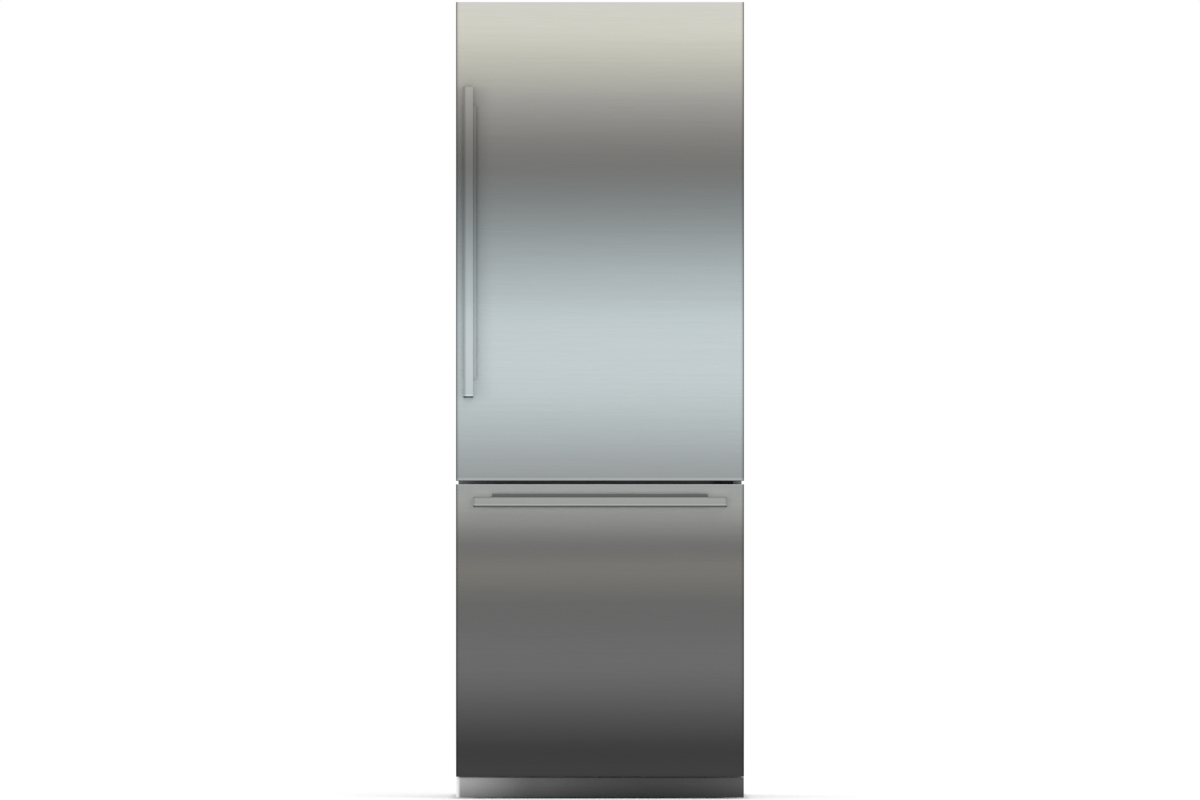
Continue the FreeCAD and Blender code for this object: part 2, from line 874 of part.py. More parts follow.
def make_base_tray():
    """The folded base pan with its rims, the roller forks below it and the foot nuts on it."""
    body = new_body("base_tray")
    side = cabinet_side - d.shell_sheet
    rear = cabinet_back - d.cover_recess
    pad(body, "Z", d.ground_clearance, machine_floor, rectangle(-side, side, cabinet_front, rear))
    for low, high in ((-side, -side + d.base_sheet), (side - d.base_sheet, side)):
        pad(body, "Z", machine_floor, machine_floor + d.base_rim,
            rectangle(low, high, cabinet_front, rear))
    pad(body, "Z", machine_floor, machine_floor + d.base_rim / 2,
        rectangle(-side + d.base_sheet, side - d.base_sheet, cabinet_front,
                  cabinet_front + d.base_sheet))
    foot_y = cabinet_front + d.foot_inset
    stem_hole = d.stem_radius + d.running_clearance
    pocket(body, "Z", d.ground_clearance - d.cut_overrun, machine_floor + d.cut_overrun,
           Circle(-support_x, foot_y, stem_hole), Circle(support_x, foot_y, stem_hole))
    half_fork = d.roller_width / 2 + d.side_play
    roller_y = cabinet_back - d.roller_inset
    half_length = d.roller_radius
    cheek_low = d.roller_radius - d.axle_radius * FORK_DROP_SHARE
    for centre in (-support_x, support_x):
        pad(body, "Z", cheek_low, d.ground_clearance,
            rectangle(centre - half_fork - d.cheek_sheet, centre - half_fork,
                      roller_y - half_length, roller_y + half_length),
            rectangle(centre + half_fork, centre + half_fork + d.cheek_sheet,
                      roller_y - half_length, roller_y + half_length))
        pad(body, "X", centre - half_fork - d.cheek_sheet, centre + half_fork + d.cheek_sheet,
            Circle(roller_y, d.roller_radius, d.axle_radius))


def make_toe_kick():
    """The plinth plate below the drawer, with a top fold that reaches the base pan."""
    body = new_body("toe_kick")
    side = cabinet_side + d.kick_overhang
    front = body_front + d.kick_setback
    top = d.drawer_bottom - d.kick_top_gap
    pad(body, "Z", d.kick_floor_gap, top, rectangle(-side, side, front, cabinet_front))
    round_edges(body, d.panel_edge_round,
                lambda edge: lies_at(edge, "Y", front) and lies_at(edge, "Z", top))
    inner = side - d.kick_sheet
    pocket(body, "Y", front + d.kick_sheet, cabinet_front + d.cut_overrun,
           rectangle(-inner, inner, d.kick_floor_gap - d.cut_overrun, top - d.kick_sheet))


def make_machine_cover():
    """The rear cover of the machine compartment, with rows of louvres."""
    body = new_body("machine_cover")
    rear = cabinet_back - d.cover_recess
    front = rear - d.cover_sheet
    side = cabinet_side - d.shell_sheet - d.base_sheet
    pad(body, "Y", front, rear, centred(side, machine_floor, machine_ceiling))
    low = machine_floor + d.louvre_level
    first = -side + d.louvre_inset
    spacing = (inlet_x - d.louvre_inlet_gap - first) / LOUVRE_COLUMNS
    width = spacing - d.louvre_bridge
    for column in range(LOUVRE_COLUMNS):
        x_low = first + spacing * column
        slot = pocket(body, "Y", front - d.cut_overrun, rear + d.cut_overrun,
                      rectangle(x_low, x_low + width, low, low + d.louvre_height))
        repeat(body, slot, "Z", d.louvre_pitch * (LOUVRE_ROWS - 1), LOUVRE_ROWS)
    low = inlet_level - d.inlet_height / 2
    pocket(body, "Y", front - d.cut_overrun, rear + d.cut_overrun,
           rectangle(inlet_x - d.inlet_width / 2, inlet_x + d.inlet_width / 2,
                     low, low + d.inlet_height))


def make_power_inlet():
    """An appliance inlet: a flanged socket body with three blades."""
    body = new_body("power_inlet")
    rear = cabinet_back - d.cover_recess
    half_width = d.inlet_width / 2
    half_height = d.inlet_height / 2
    x, z = inlet_x, inlet_level
    flange_rear = rear + d.inlet_flange
    pad(body, "Y", rear - d.inlet_depth, flange_rear,
        rectangle(x - half_width, x + half_width, z - half_height, z + half_height))
    lip = d.inlet_wall
    pad(body, "Y", rear, flange_rear,
        rectangle(x - half_width - lip, x + half_width + lip, z - half_height - lip,
                  z + half_height + lip))
    wall = d.inlet_wall
    pocket(body, "Y", rear - d.inlet_depth + wall, flange_rear + d.cut_overrun,
           rectangle(x - half_width + wall, x + half_width - wall, z - half_height + wall,
                     z + half_height - wall))
    blades = []
    for step in (-1, 0, 1):
        centre = x + d.blade_spacing * step
        blades.append(rectangle(centre - d.blade_height / 2, centre + d.blade_height / 2,
                                z - d.blade_width / 2, z + d.blade_width / 2))
    pad(body, "Y", rear - d.inlet_depth, rear - d.inlet_depth + d.blade_length, *blades)


def make_foot(label, side):
    """A levelling foot: a round pad, a threaded stem and the hexagon that turns it."""
    body = new_body(label)
    revolve(body, [(ZERO, ZERO), (d.foot_radius, ZERO), (d.foot_radius, d.foot_height * FOOT_EDGE_SHARE),
                   (d.stem_radius * FOOT_NECK_SHARE, d.foot_height),
                   (d.stem_radius, d.foot_height), (d.stem_radius, d.foot_height + d.stem_length),
                   (ZERO, d.foot_height + d.stem_length)])
    half = d.nut_across / 2
    corner = half / math.cos(math.pi / 6)
    hexagon = []
    for number in range(6):
        angle = math.pi / 3 * number
        hexagon.append((corner * math.cos(angle), corner * math.sin(angle)))
    pad(body, "Z", d.foot_height, d.foot_height + d.nut_height, hexagon)
    place(body, x=support_x * side, y=cabinet_front + d.foot_inset)


def make_roller(label, side):
    """A grooved transport roller that turns on the fork's axle."""
    body = new_body(label)
    bore = d.axle_radius + d.running_clearance
    half = d.roller_width / 2
    rim = d.roller_radius
    revolve(body, [(bore, -half), (rim, -half), (rim, -half / 4), (rim - d.roller_groove, ZERO),
                   (rim, half / 4), (rim, half), (bore, half)])
    body.Placement = FreeCAD.Placement(Vector(0, 0, 0), FreeCAD.Rotation(Vector(0, 1, 0), 90))
    place(body, x=support_x * side, y=cabinet_back - d.roller_inset, z=d.roller_radius)


def mount_places():
    x = d.plate_length / 2 - d.mount_inset
    y = d.plate_width / 2 - d.mount_inset
    return [(side_x * float(x), side_y * float(y)) for side_x in (-1, 1) for side_y in (-1, 1)]


def make_compressor():
    """A hermetic compressor: domed can, weld seam, foot plate and terminal cover."""
    body = new_body("compressor")
    low = d.mount_height
    radius = d.compressor_radius
    can_low = low + d.plate_sheet
    can_high = low + d.compressor_height
    revolve(body, [(ZERO, can_low), (radius, can_low), (radius, can_high), (ZERO, can_high)])
    round_edges(body, d.compressor_round, lambda edge: lies_at(edge, "Z", can_high))
    seam = seam_level - machine_floor
    pad(body, "Z", seam, seam + d.seam_height, Circle(ZERO, ZERO, radius + d.seam_width))
    pad(body, "Z", low, can_low,
        rectangle(-d.plate_length / 2, d.plate_length / 2, -d.plate_width / 2, d.plate_width / 2))
    half = d.terminal_width / 2
    cover_low = seam - d.terminal_height - d.seam_height
    pad(body, "Z", cover_low, cover_low + d.terminal_height,
        rectangle(-half, half, -radius - d.terminal_depth, -radius + d.terminal_depth / 2))
    place(body, x=compressor_x, y=compressor_y, z=machine_floor)


def make_compressor_mounts():
    """Four waisted rubber mounts between the base pan and the compressor's foot plate."""
    quarter = d.mount_height / 4
    waist = Part.makeCylinder(float(d.mount_waist), float(d.mount_height))
    low = Part.makeCylinder(float(d.mount_radius), float(quarter))
    high = Part.makeCylinder(float(d.mount_radius), float(quarter), Vector(0, 0, quarter * 3))
    mount = waist.multiFuse([low, high]).removeSplitter()
    mounts = []
    for x, y in mount_places():
        mounts.append(moved(mount, float(compressor_x) + x, float(compressor_y) + y,
                            float(machine_floor)))
    add_shape("compressor_mounts", Part.makeCompound(mounts))


def make_drip_tray():
    """The pan over the compressor in which defrost water dries off."""
    body = new_body("drip_tray")
    bottom = machine_floor + d.mount_height + d.compressor_height
    x, y = compressor_x, compressor_y
    pad(body, "Z", bottom, bottom + d.drip_height,
        rectangle(x - d.drip_length / 2, x + d.drip_length / 2,
                  y - d.drip_width / 2, y + d.drip_width / 2))
    round_edges(body, d.drip_corner, lambda edge: runs_along(edge, "Z"))
    hollow(body, d.drip_wall, lambda face: lies_at(face, "Z", bottom + d.drip_height))


def make_control_box():
    """The housing of the power electronics, with an overlapping lid."""
    body = new_body("control_box")
    x, y = box_x, box_y
    half_length = d.box_length / 2
    half_width = d.box_width / 2
    lid_low = machine_floor + d.box_height - d.lid_height
    pad(body, "Z", machine_floor, lid_low,
        rectangle(x - half_length, x + half_length, y - half_width, y + half_width))
    lip = d.lid_lip
    pad(body, "Z", lid_low, machine_floor + d.box_height,
        rectangle(x - half_length - lip, x + half_length + lip,
                  y - half_width - lip, y + half_width + lip))
    round_edges(body, d.lid_lip, lambda edge: runs_along(edge, "Z"))


def make_condenser():
    """Serpentine tube with upright wires on both sides and two end brackets."""
    pitch = d.condenser_pitch
    radius = d.tube_radius
    points = serpentine(TUBE_PASSES, d.condenser_length, pitch)
    tube = bent_tube(points, radius, pitch / 2 * BEND_SHARE)
    height = pitch * (TUBE_PASSES - 1)
    wires = []
    run = d.condenser_length - pitch * 2
    foot = machine_floor - condenser_level
    for number in range(WIRE_COUNT):
        x = float(run) * (number / (WIRE_COUNT - 1) - 1 / 2)
        for side in (-1, 1):
            face = float(radius) * side
            near_y, far_y = sorted((face, face + float(d.wire_size) * side))
            lowest = float(foot) if number in (0, WIRE_COUNT - 1) else -float(d.wire_overhang)
            wires.append(Part.makeBox(
                float(d.wire_size), far_y - near_y,
                float(height) + float(d.wire_overhang) - lowest, Vector(x, near_y, lowest)))
    coil = add_shape("condenser", Part.makeCompound([tube] + wires))
    place(coil, x=condenser_x, y=condenser_y, z=condenser_level)


def make_refrigerant_lines():
    """Discharge line to the condenser, drier line into the foam and suction line back."""
    left_end = condenser_x - d.condenser_length / 2
    column = left_end - d.line_offset
    front, middle = condenser_y, compressor_y
    bottom = condenser_level
    top = condenser_level + d.condenser_pitch * (TUBE_PASSES - 1)
    can = d.compressor_radius - d.braze_depth
    port = seam_level - d.port_drop
    discharge = bent_tube([(compressor_x - can, middle, port), (column, middle, port),
                           (column, front, port), (column, front, top), (left_end, front, top)],
                          d.line_radius, d.line_bend)
    rear = box_y + d.box_width / 2
    outlet = bent_tube([(left_end, front, bottom), (column, front, bottom), (column, rear, bottom),
                        (column, rear, machine_ceiling)], d.line_radius, d.line_bend)
    drier_front = Vector(column, front + d.drier_setback, bottom)
    drier = rod(d.drier_radius, drier_front, drier_front + Vector(0, d.drier_length, 0))
    caps = [edge for edge in drier.Edges if isinstance(edge.Curve, Part.Circle)]
    drier = drier.makeFillet(float(d.drier_round), caps)
    suction_x = compressor_x + d.drip_length / 2 + d.line_clearance
    suction = bent_tube([(suction_x, middle, machine_ceiling), (suction_x, middle, port),
                         (compressor_x + can, middle, port)], d.line_radius, d.line_bend)
    add_shape("refrigerant_lines", Part.makeCompound([discharge, outlet.fuse(drier), suction]))


def make_fan_shroud():
    """The plate and ring round the condenser fan, with the arms that carry its motor."""
    ring_radius = d.big_fan_radius + d.fan_tip_gap
    half = d.shroud_width / 2
    plate_rear = shroud_y + d.shroud_sheet
    level = machine_floor + d.shroud_height / 2
    plate = block(condenser_x - half, condenser_x + half, shroud_y, plate_rear,
                  machine_floor, machine_floor + d.shroud_height)
    centre = Vector(condenser_x, shroud_y, level)
    back = Vector(condenser_x, plate_rear + d.shroud_rim, level)
    rim = rod(ring_radius + d.shroud_sheet, centre, back)
    opening = rod(ring_radius, centre - Vector(0, d.cut_overrun, 0), back + Vector(0, d.cut_overrun, 0))
    carrier = fan_carrier(d.big_fan_radius, d.big_fan_depth, d.fan_bore_radius)
    shroud = plate.fuse(rim).cut(opening)
    shroud = shroud.fuse(moved(carrier, condenser_x, plate_rear, level))
    add_shape("fan_shroud", shroud.removeSplitter())


def make_fan(label, radius, depth, x, plate_rear, level):
    """A fan on the shaft of its carrier, behind the plate that it draws through."""
    fan = add_shape(label, axial_fan(radius, depth, d.fan_bore_radius))
    place(fan, x=x, y=plate_rear + d.fan_gap, z=level)


def make_duct_cover(label, low, high, fan_level, vent_level):
    """A moulded cover in front of an evaporator: side returns, vents and the fan's carrier."""
    side = inner_side - d.duct_side_gap
    plate_rear = duct_front + d.duct_sheet
    cover = block(-side, side, duct_front, inner_back, low, high)
    edges = [edge for edge in cover.Edges
             if runs_along(edge, "Z") and near(edge.CenterOfMass.y, duct_front)]
    cover = cover.makeFillet(float(d.duct_sheet), edges)
    inside = block(-side + d.duct_sheet, side - d.duct_sheet, plate_rear,
                   inner_back + d.cut_overrun, low - d.cut_overrun, high + d.cut_overrun)
    tools = [inside]
    first = d.vent_side_gap - side
    pitch = first / VENT_COLUMNS * -2
    width = pitch - d.vent_bridge
    front = duct_front - d.cut_overrun
    for column in range(VENT_COLUMNS):
        x_low = first + pitch * column + d.vent_bridge / 2
        for row in range(VENT_ROWS):
            z_low = vent_level + d.vent_pitch * row
            tools.append(block(x_low, x_low + width, front, plate_rear + d.cut_overrun,
                               z_low, z_low + d.vent_height))
    tools.append(rod(d.small_fan_radius + d.fan_tip_gap, Vector(0, front, fan_level),
                     Vector(0, plate_rear + d.cut_overrun, fan_level)))
    cover = cover.cut(tools)
    carrier = fan_carrier(d.small_fan_radius, d.small_fan_depth, d.fan_bore_radius)
    cover = cover.fuse(moved(carrier, ZERO, plate_rear, fan_level))
    add_shape(label, cover.removeSplitter())


def finned_coil(level):
    """An evaporator: a serpentine tube in plate fins, standing off the liner's rear wall."""
    pitch = d.coil_pitch
    radius = d.coil_tube_radius
    length = (inner_side - d.coil_side_gap) * 2
    points = serpentine(COIL_PASSES, length, pitch)
    tube = bent_tube(points, radius, pitch / 2 * BEND_SHARE)
    half_depth = d.coil_depth / 2
    top = pitch * (COIL_PASSES - 1) + d.coil_fin_margin
    run = length - pitch * 2
    fins = []
    for number in range(COIL_FINS):
        x = run * (number / (COIL_FINS - 1) - 1 / 2)
        fin = block(x, x + d.coil_fin_sheet, -half_depth, half_depth, -d.coil_fin_margin, top)
        slots = []
        for turn in range(COIL_PASSES):
            z = pitch * turn
            slots.append(block(x - d.cut_overrun, x + d.coil_fin_sheet + d.cut_overrun,
                               -half_depth - d.cut_overrun, radius, z - radius, z + radius))
        fins.append(fin.cut(slots))
    coil = Part.makeCompound([tube] + fins)
    return moved(coil, ZERO, inner_back - half_depth, level)


def make_evaporators():
    coils = [finned_coil(freezer_floor + d.freezer_coil_rise),
             finned_coil(fridge_floor + d.fridge_coil_rise)]
    add_shape("evaporators", Part.makeCompound(coils))


def make_side_lights():
    """Light strips up both walls of the upper compartment, near the front."""
    body = new_body("side_lights")
    front = cabinet_front + d.light_setback
    low, high = front, front + d.light_width
    pad(body, "Z", fridge_floor + d.light_rise, fridge_ceiling - d.light_drop,
        rectangle(-inner_side, -inner_side + d.light_thickness, low, high),
        rectangle(inner_side - d.light_thickness, inner_side, low, high))


def make_control_panel():
    """The touch panel under the ceiling."""
    body = new_body("control_panel")
    ceiling = fridge_ceiling - d.liner_wall
    front = cabinet_front + d.control_setback
    low = ceiling - d.control_height
    pad(body, "Z", low, ceiling,
        rectangle(-d.control_width / 2, d.control_width / 2, front, front + d.control_depth))
    round_edges(body, d.control_round,
                lambda edge: lies_at(edge, "Y", front) and lies_at(edge, "Z", low)
                or runs_along(edge, "Z"))


def glass_outline():
    side = inner_side - d.shelf_side_gap
    front = cabinet_front + d.shelf_setback + d.trim_wall
    rear = duct_front - d.shelf_rear_gap - d.trim_wall
    return rectangle(-side, side, front, rear)


def make_glass(label, level):
    """A toughened glass plate with rounded corners."""
    body = new_body(label)
    pad(body, "Z", ZERO, d.glass_thickness, glass_outline())
    round_edges(body, d.glass_corner, lambda edge: runs_along(edge, "Z"))
    place(body, z=level)


def shelf_levels():
    levels = [first_rail + d.rail_thickness]
    for rail in SHELF_RAILS:
        levels.append(first_rail + rail_spacing * rail + d.rail_thickness)
    return levels


def make_shelf_trims():
    """Grooved trims on the front and rear edge of each glass, between the liner's rails."""
    side = inner_side - d.rail_width - d.shelf_side_gap
    front = cabinet_front + d.shelf_setback
    rear = duct_front - d.shelf_rear_gap
    trims = []
    for level in shelf_levels():
        low = level - (d.trim_height - d.glass_thickness) / 2
        for edge, inward in ((front, 1), (rear, -1)):
            ends = sorted((edge, edge + d.trim_depth * inward), key=float)
            bar = block(-side, side, ends[0], ends[1], low, low + d.trim_height)
            rounded = [line for line in bar.Edges
                       if runs_along(line, "X") and near(line.CenterOfMass.y, edge)]
            bar = bar.makeFillet(float(d.trim_wall), rounded)
            ends = sorted((edge + d.trim_wall * inward, edge + (d.trim_depth + d.cut_overrun) * inward),
                          key=float)
            groove = block(-side - d.cut_overrun, side + d.cut_overrun, ends[0], ends[1],
                           level, level + d.glass_thickness)
            trims.append(bar.cut(groove))
    add_shape("shelf_trims", Part.makeCompound(trims))


def make_crisper(label, side):
    """A clear drawer with a grip cut into the top of its front wall."""
    body = new_body(label)
    width = inner_side - d.crisper_side_gap - d.crisper_gap / 2
    front = cabinet_front + d.crisper_setback
    depth = inner_back - d.crisper_rear_gap - front
    pad(body, "Z", ZERO, d.crisper_height, rectangle(-width / 2, width / 2, ZERO, depth))
    round_edges(body, d.crisper_corner,
                lambda edge: runs_along(edge, "Z") or lies_at(edge, "Z", ZERO))
    hollow(body, d.crisper_wall, lambda face: lies_at(face, "Z", d.crisper_height))
    grip = d.crisper_grip_width / 2
    top = d.crisper_height
    pocket(body, "Y", -d.cut_overrun, d.crisper_wall + d.cut_overrun,
           [(-grip, top + d.cut_overrun), (-grip, top),
            (-grip + d.crisper_grip_depth, top - d.crisper_grip_depth),
            (grip - d.crisper_grip_depth, top - d.crisper_grip_depth), (grip, top),
            (grip, top + d.cut_overrun)])
    middle = (d.crisper_gap / 2 + width / 2) * side
    bottom = fridge_floor + d.liner_wall + d.rib_height + d.rest_gap
    place(body, x=middle, y=front, z=bottom)


def make_top_bracket():
    """The angle on top of the cabinet that is screwed to the wall behind it."""
    body = new_body("top_bracket")
    half = d.bracket_width / 2
    low = cabinet_top
    pad(body, "Z", low, low + d.bracket_sheet,
        rectangle(-half, half, cabinet_back - d.bracket_depth, cabinet_back))
    pad(body, "Y", cabinet_back - d.bracket_sheet, cabinet_back,
        rectangle(-half, half, low + d.bracket_sheet, low + d.bracket_sheet + d.bracket_upright))
    hole_level = low + d.bracket_sheet + d.bracket_upright / 2
    pocket(body, "Y", cabinet_back - d.bracket_sheet - d.cut_overrun, cabinet_back + d.cut_overrun,
           Circle(-d.bracket_hole_spacing / 2, hole_level, d.bracket_hole_radius),
           Circle(d.bracket_hole_spacing / 2, hole_level, d.bracket_hole_radius))


# Hinges

pivot_x = panel_side - d.pivot_inset
pivot_y = body_front + d.pivot_setback
door_body_bottom = door_bottom + d.body_bottom_inset
door_body_top = door_top - d.body_top_inset


def hinge_outline(rear):
    """A plate that runs from the cabinet to the pin and keeps left of the door's swing."""
    swing = pivot_x - d.hinge_offset
    front = pivot_y - d.boss_radius
    return [(pivot_x - d.hinge_width, front), (pivot_x, front), (pivot_x, pivot_y + d.boss_radius),
            (swing, pivot_y + d.boss_radius + d.hinge_offset), (swing, rear),
            (pivot_x - d.hinge_width, rear)]


def make_door_hinges():
    """Top and bottom hinge plates, each with its pin."""
    body = new_body("door_hinges")
    low = cabinet_top
    high = low + d.hinge_plate
    pad(body, "Z", low, high, hinge_outline(cabinet_front + d.hinge_run))
    pad(body, "Z", low, high, Circle(pivot_x, pivot_y, d.boss_radius))
    pad(body, "Z", low - d.pin_length, low, Circle(pivot_x, pivot_y, d.pin_radius))
    plate_top = door_body_bottom - d.bush_flange - d.rest_gap
    plate_low = plate_top - d.hinge_plate
    pad(body, "Z", plate_low, plate_top, hinge_outline(cabinet_front))
    pad(body, "Z", plate_low, plate_top, Circle(pivot_x, pivot_y, d.boss_radius))
    pad(body, "Z", plate_top, plate_top + d.pin_length, Circle(pivot_x, pivot_y, d.pin_radius))
    pad(body, "Z", plate_top - d.hinge_foot_height, plate_low,
        rectangle(pivot_x - d.hinge_width, pivot_x - d.hinge_offset, cabinet_front - d.hinge_foot,
                  cabinet_front))


def bush_radius():
    return d.pin_radius + d.bush_wall


def make_door_bushes():
    """Flanged bushes in the door's two ends, which turn on the hinge pins."""
    bore = d.pin_radius + d.running_clearance
    bushes = []
    for face, inward in ((door_body_bottom, 1), (door_body_top, -1)):
        centre = Vector(pivot_x, pivot_y, face)
        depth = Vector(0, 0, d.pin_length * inward)
        out = Vector(0, 0, d.bush_flange * -inward)
        sleeve = rod(bush_radius(), centre, centre + depth)
        flange = rod(d.bush_flange_radius, centre, centre + out)
        hole = rod(bore, centre + out * 2, centre + depth * 2)
        bushes.append(sleeve.fuse(flange).removeSplitter().cut(hole))
    bushes = [trimmed(bush) for bush in bushes]
    add_shape("door_bushes", Part.makeCompound(bushes))


def trimmed(bush):
    """Keeps the bush's flange inside the door body's front face."""
    box = bush.BoundBox
    keep = Part.makeBox(box.XLength, box.YMax - float(body_front), box.ZLength,
                        Vector(box.XMin, float(body_front), box.ZMin))
    return bush.common(keep)


# Door and drawer bodies

def make_panel(label, low, high):
    """A folded steel door panel: front skin, edges and returns round an open rear."""
    body = new_body(label)
    pad(body, "Y", panel_front, body_front, centred(panel_side, low, high))
    round_edges(body, d.panel_edge_round, lambda edge: lies_at(edge, "Y", panel_front))
    inner = panel_side - d.panel_sheet
    pocket(body, "Y", panel_front + d.panel_sheet, body_front - d.panel_sheet,
           centred(inner, low + d.panel_sheet, high - d.panel_sheet))
    opening = panel_side - d.panel_return
    pocket(body, "Y", body_front - d.panel_sheet, body_front + d.cut_overrun,
           centred(opening, low + d.panel_return, high - d.panel_return))


def body_solid(body, low, high, dike, inset):
    """The volume of a door body, drawn in by an inset: a slab with a raised ring behind it."""
    side = cabinet_side - inset
    pad(body, "Y", body_front, body_rear - inset, centred(side, low + inset, high - inset))
    outer = centred(dike.side - inset, dike.low + inset, dike.high - inset)
    inner = centred(dike.side - dike.width + inset, dike.low + dike.width - inset,
                    dike.high - dike.width + inset)
    pad(body, "Y", body_rear - inset, body_rear + dike.depth - inset, outer, inner)


door_dike = Dike(inner_side - d.dike_side_gap, fridge_floor + d.liner_wall + d.dike_bottom_gap,
                 fridge_ceiling - d.liner_wall - d.dike_top_gap, d.dike_depth, d.dike_width)
drawer_dike = Dike(inner_side - d.drawer_dike_side_gap, freezer_floor + d.liner_wall + d.drawer_dike_gap,
                   freezer_ceiling - d.liner_wall - d.drawer_dike_gap, d.drawer_dike_depth,
                   d.dike_width)
drawer_body_bottom = d.drawer_bottom + d.body_bottom_inset
drawer_body_top = drawer_top - d.body_bottom_inset


def make_door_body():
    """The door's formed inner liner and the foam that fills it, bored for the bushes."""
    liner = new_body("door_liner")
    body_solid(liner, door_body_bottom, door_body_top, door_dike, ZERO)
    hollow(liner, d.body_wall, lambda face: lies_at(face, "Y", body_front))
    foam = new_body("door_foam")
    body_solid(foam, door_body_bottom, door_body_top, door_dike, d.body_wall)
    hole = Circle(pivot_x, pivot_y, bush_radius())
    for body in (liner, foam):
        pocket(body, "Z", door_body_bottom - d.cut_overrun, door_body_bottom + d.pin_length, hole)
        pocket(body, "Z", door_body_top - d.pin_length, door_body_top + d.cut_overrun, hole)
    lug_front = body_rear + d.lug_setback
    lug_side = door_dike.side - door_dike.width
    inner_edge = bin_side() + d.rest_gap
    for number in range(BIN_COUNT):
        top = bin_lug_top(number)
        pad(liner, "Z", top - d.lug_height, top,
            rectangle(-lug_side, -inner_edge, lug_front, lug_front + d.lug_depth),
            rectangle(inner_edge, lug_side, lug_front, lug_front + d.lug_depth))


def make_drawer_body():
    liner = new_body("drawer_liner")
    body_solid(liner, drawer_body_bottom, drawer_body_top, drawer_dike, ZERO)
    hollow(liner, d.body_wall, lambda face: lies_at(face, "Y", body_front))
    foam = new_body("drawer_foam")
    body_solid(foam, drawer_body_bottom, drawer_body_top, drawer_dike, d.body_wall)


def make_gasket(label, low, high):
    """A magnetic gasket ring: a wide foot on the door and a narrower sealing bulb."""
    body = new_body(label)
    side = cabinet_side - d.gasket_edge
    front = cabinet_front - d.rest_gap
    width = d.gasket_width
    foot_rear = body_rear + d.gasket_foot
    pad(body, "Y", body_rear, foot_rear, centred(side, low, high),
        centred(side - width, low + width, high - width))
    step = (width - d.gasket_bulb) / 2
    pad(body, "Y", foot_rear, front, centred(side - step, low + step, high - step),
        centred(side - width + step, low + width - step, high - width + step))


def make_gaskets():
    inset = d.gasket_inset
    make_gasket("door_gasket", door_body_bottom + inset, door_body_top - inset)
    make_gasket("drawer_gasket", freezer_floor - d.gasket_width - inset, drawer_body_top - inset)


# Handles

bar_rear = handle_front + d.bar_thickness


def make_handle(label, across, along_low, along_high, upright):
    """A flat bar on two deep end brackets, in one piece."""
    body = new_body(label)
    half = d.bar_width / 2

    def outline(low, high):
        if upright:
            return rectangle(across - half, across + half, low, high)
        return rectangle(low, high, across - half, across + half)

    pad(body, "Y", handle_front, bar_rear, outline(along_low, along_high))
    pad(body, "Y", bar_rear, panel_front, outline(along_low, along_low + d.bracket_length),
        outline(along_high - d.bracket_length, along_high))
    round_edges(body, d.bar_round,
                lambda edge: lies_at(edge, "Y", handle_front)
                or runs_along(edge, "Y") and edge.BoundBox.YMin < float(bar_rear))


def make_grip(label, across, along_low, along_high, upright):
    """The liner strip behind the bar, which stands proud on the side that is grasped."""
    body = new_body(label)
    low = along_low + d.bracket_length
    high = along_high - d.bracket_length
    inner = across + d.bar_width / 2 - d.grip_cover
    outer = across + d.bar_width / 2 + d.grip_proud
    front, rear = bar_rear, bar_rear + d.grip_thickness
    if upright:
        outline = rectangle(inner, outer, low, high)
    else:
        outline = rectangle(low, high, inner, outer)
    pad(body, "Y", front, rear, outline)
    along = "Z" if upright else "X"
    round_edges(body, d.grip_round,
                lambda edge: runs_along(edge, along)
                and near(edge.BoundBox.XMax if upright else edge.BoundBox.ZMax, outer))


def make_handles():
    upright_x = d.door_handle_inset - panel_side
    bottom = door_bottom + d.door_handle_rise
    level = drawer_top - d.drawer_handle_drop
    half_length = panel_side - d.drawer_handle_margin
    for maker, part in ((make_handle, "handle"), (make_grip, "grip")):
        maker(f"door_{part}", upright_x, bottom, bottom + d.door_handle_length, True)
        maker(f"drawer_{part}", level, -half_length, half_length, False)


# Door bins

def bin_side():
    return door_dike.side - door_dike.width - d.bin_side_gap


def bin_lug_top(number):
    return bin_level + bin_spacing * number + d.bin_height - d.lug_drop


def make_door_bin(label, number):
    """A bottle bin with hooks that drop over the lugs on the door liner."""
    body = new_body(label)
    side = bin_side()
    rear = body_rear + d.rest_gap
    top = d.bin_height
    pad(body, "Z", ZERO, top, rectangle(-side, side, rear, rear + d.bin_depth))
    round_edges(body, d.bin_corner,
                lambda edge: runs_along(edge, "Z") and near(edge.BoundBox.YMax, rear + d.bin_depth)
                or lies_at(edge, "Z", ZERO) and not lies_at(edge, "Y", rear))
    hollow(body, d.bin_wall, lambda face: lies_at(face, "Z", top))
    hook_low = top - d.lug_drop + d.rest_gap
    hook_front = body_rear + d.lug_setback
    reach = side + d.bin_side_gap - d.rest_gap
    pad(body, "Z", hook_low, hook_low + d.hook_thickness,
        rectangle(-reach, -side + d.bin_wall / 2, hook_front, hook_front + d.lug_depth),
        rectangle(side - d.bin_wall / 2, reach, hook_front, hook_front + d.lug_depth))
    place(body, z=bin_level + bin_spacing * number)


# Drawer runners and stabiliser

def channel(outer_wall, half_height, depth, inward):
    """A C-section against a wall: its web lies at the wall and its lips point inward."""
    sheet_gauge = d.runner_sheet
    level = runner_level
    low, high = level - half_height, level + half_height
    web = outer_wall + sheet_gauge * inward
    tip = outer_wall + depth * inward
    return [(outer_wall, low), (tip, low), (tip, low + sheet_gauge), (web, low + sheet_gauge),
            (web, high - sheet_gauge), (tip, high - sheet_gauge), (tip, high), (outer_wall, high)]


def runner_member(nesting):
    """Wall position, half height and depth of a runner member, from the fixed one inwards."""
    step = d.runner_sheet + d.runner_gap
    return step * nesting, d.runner_height / 2 - step * nesting, d.runner_depth - step * nesting


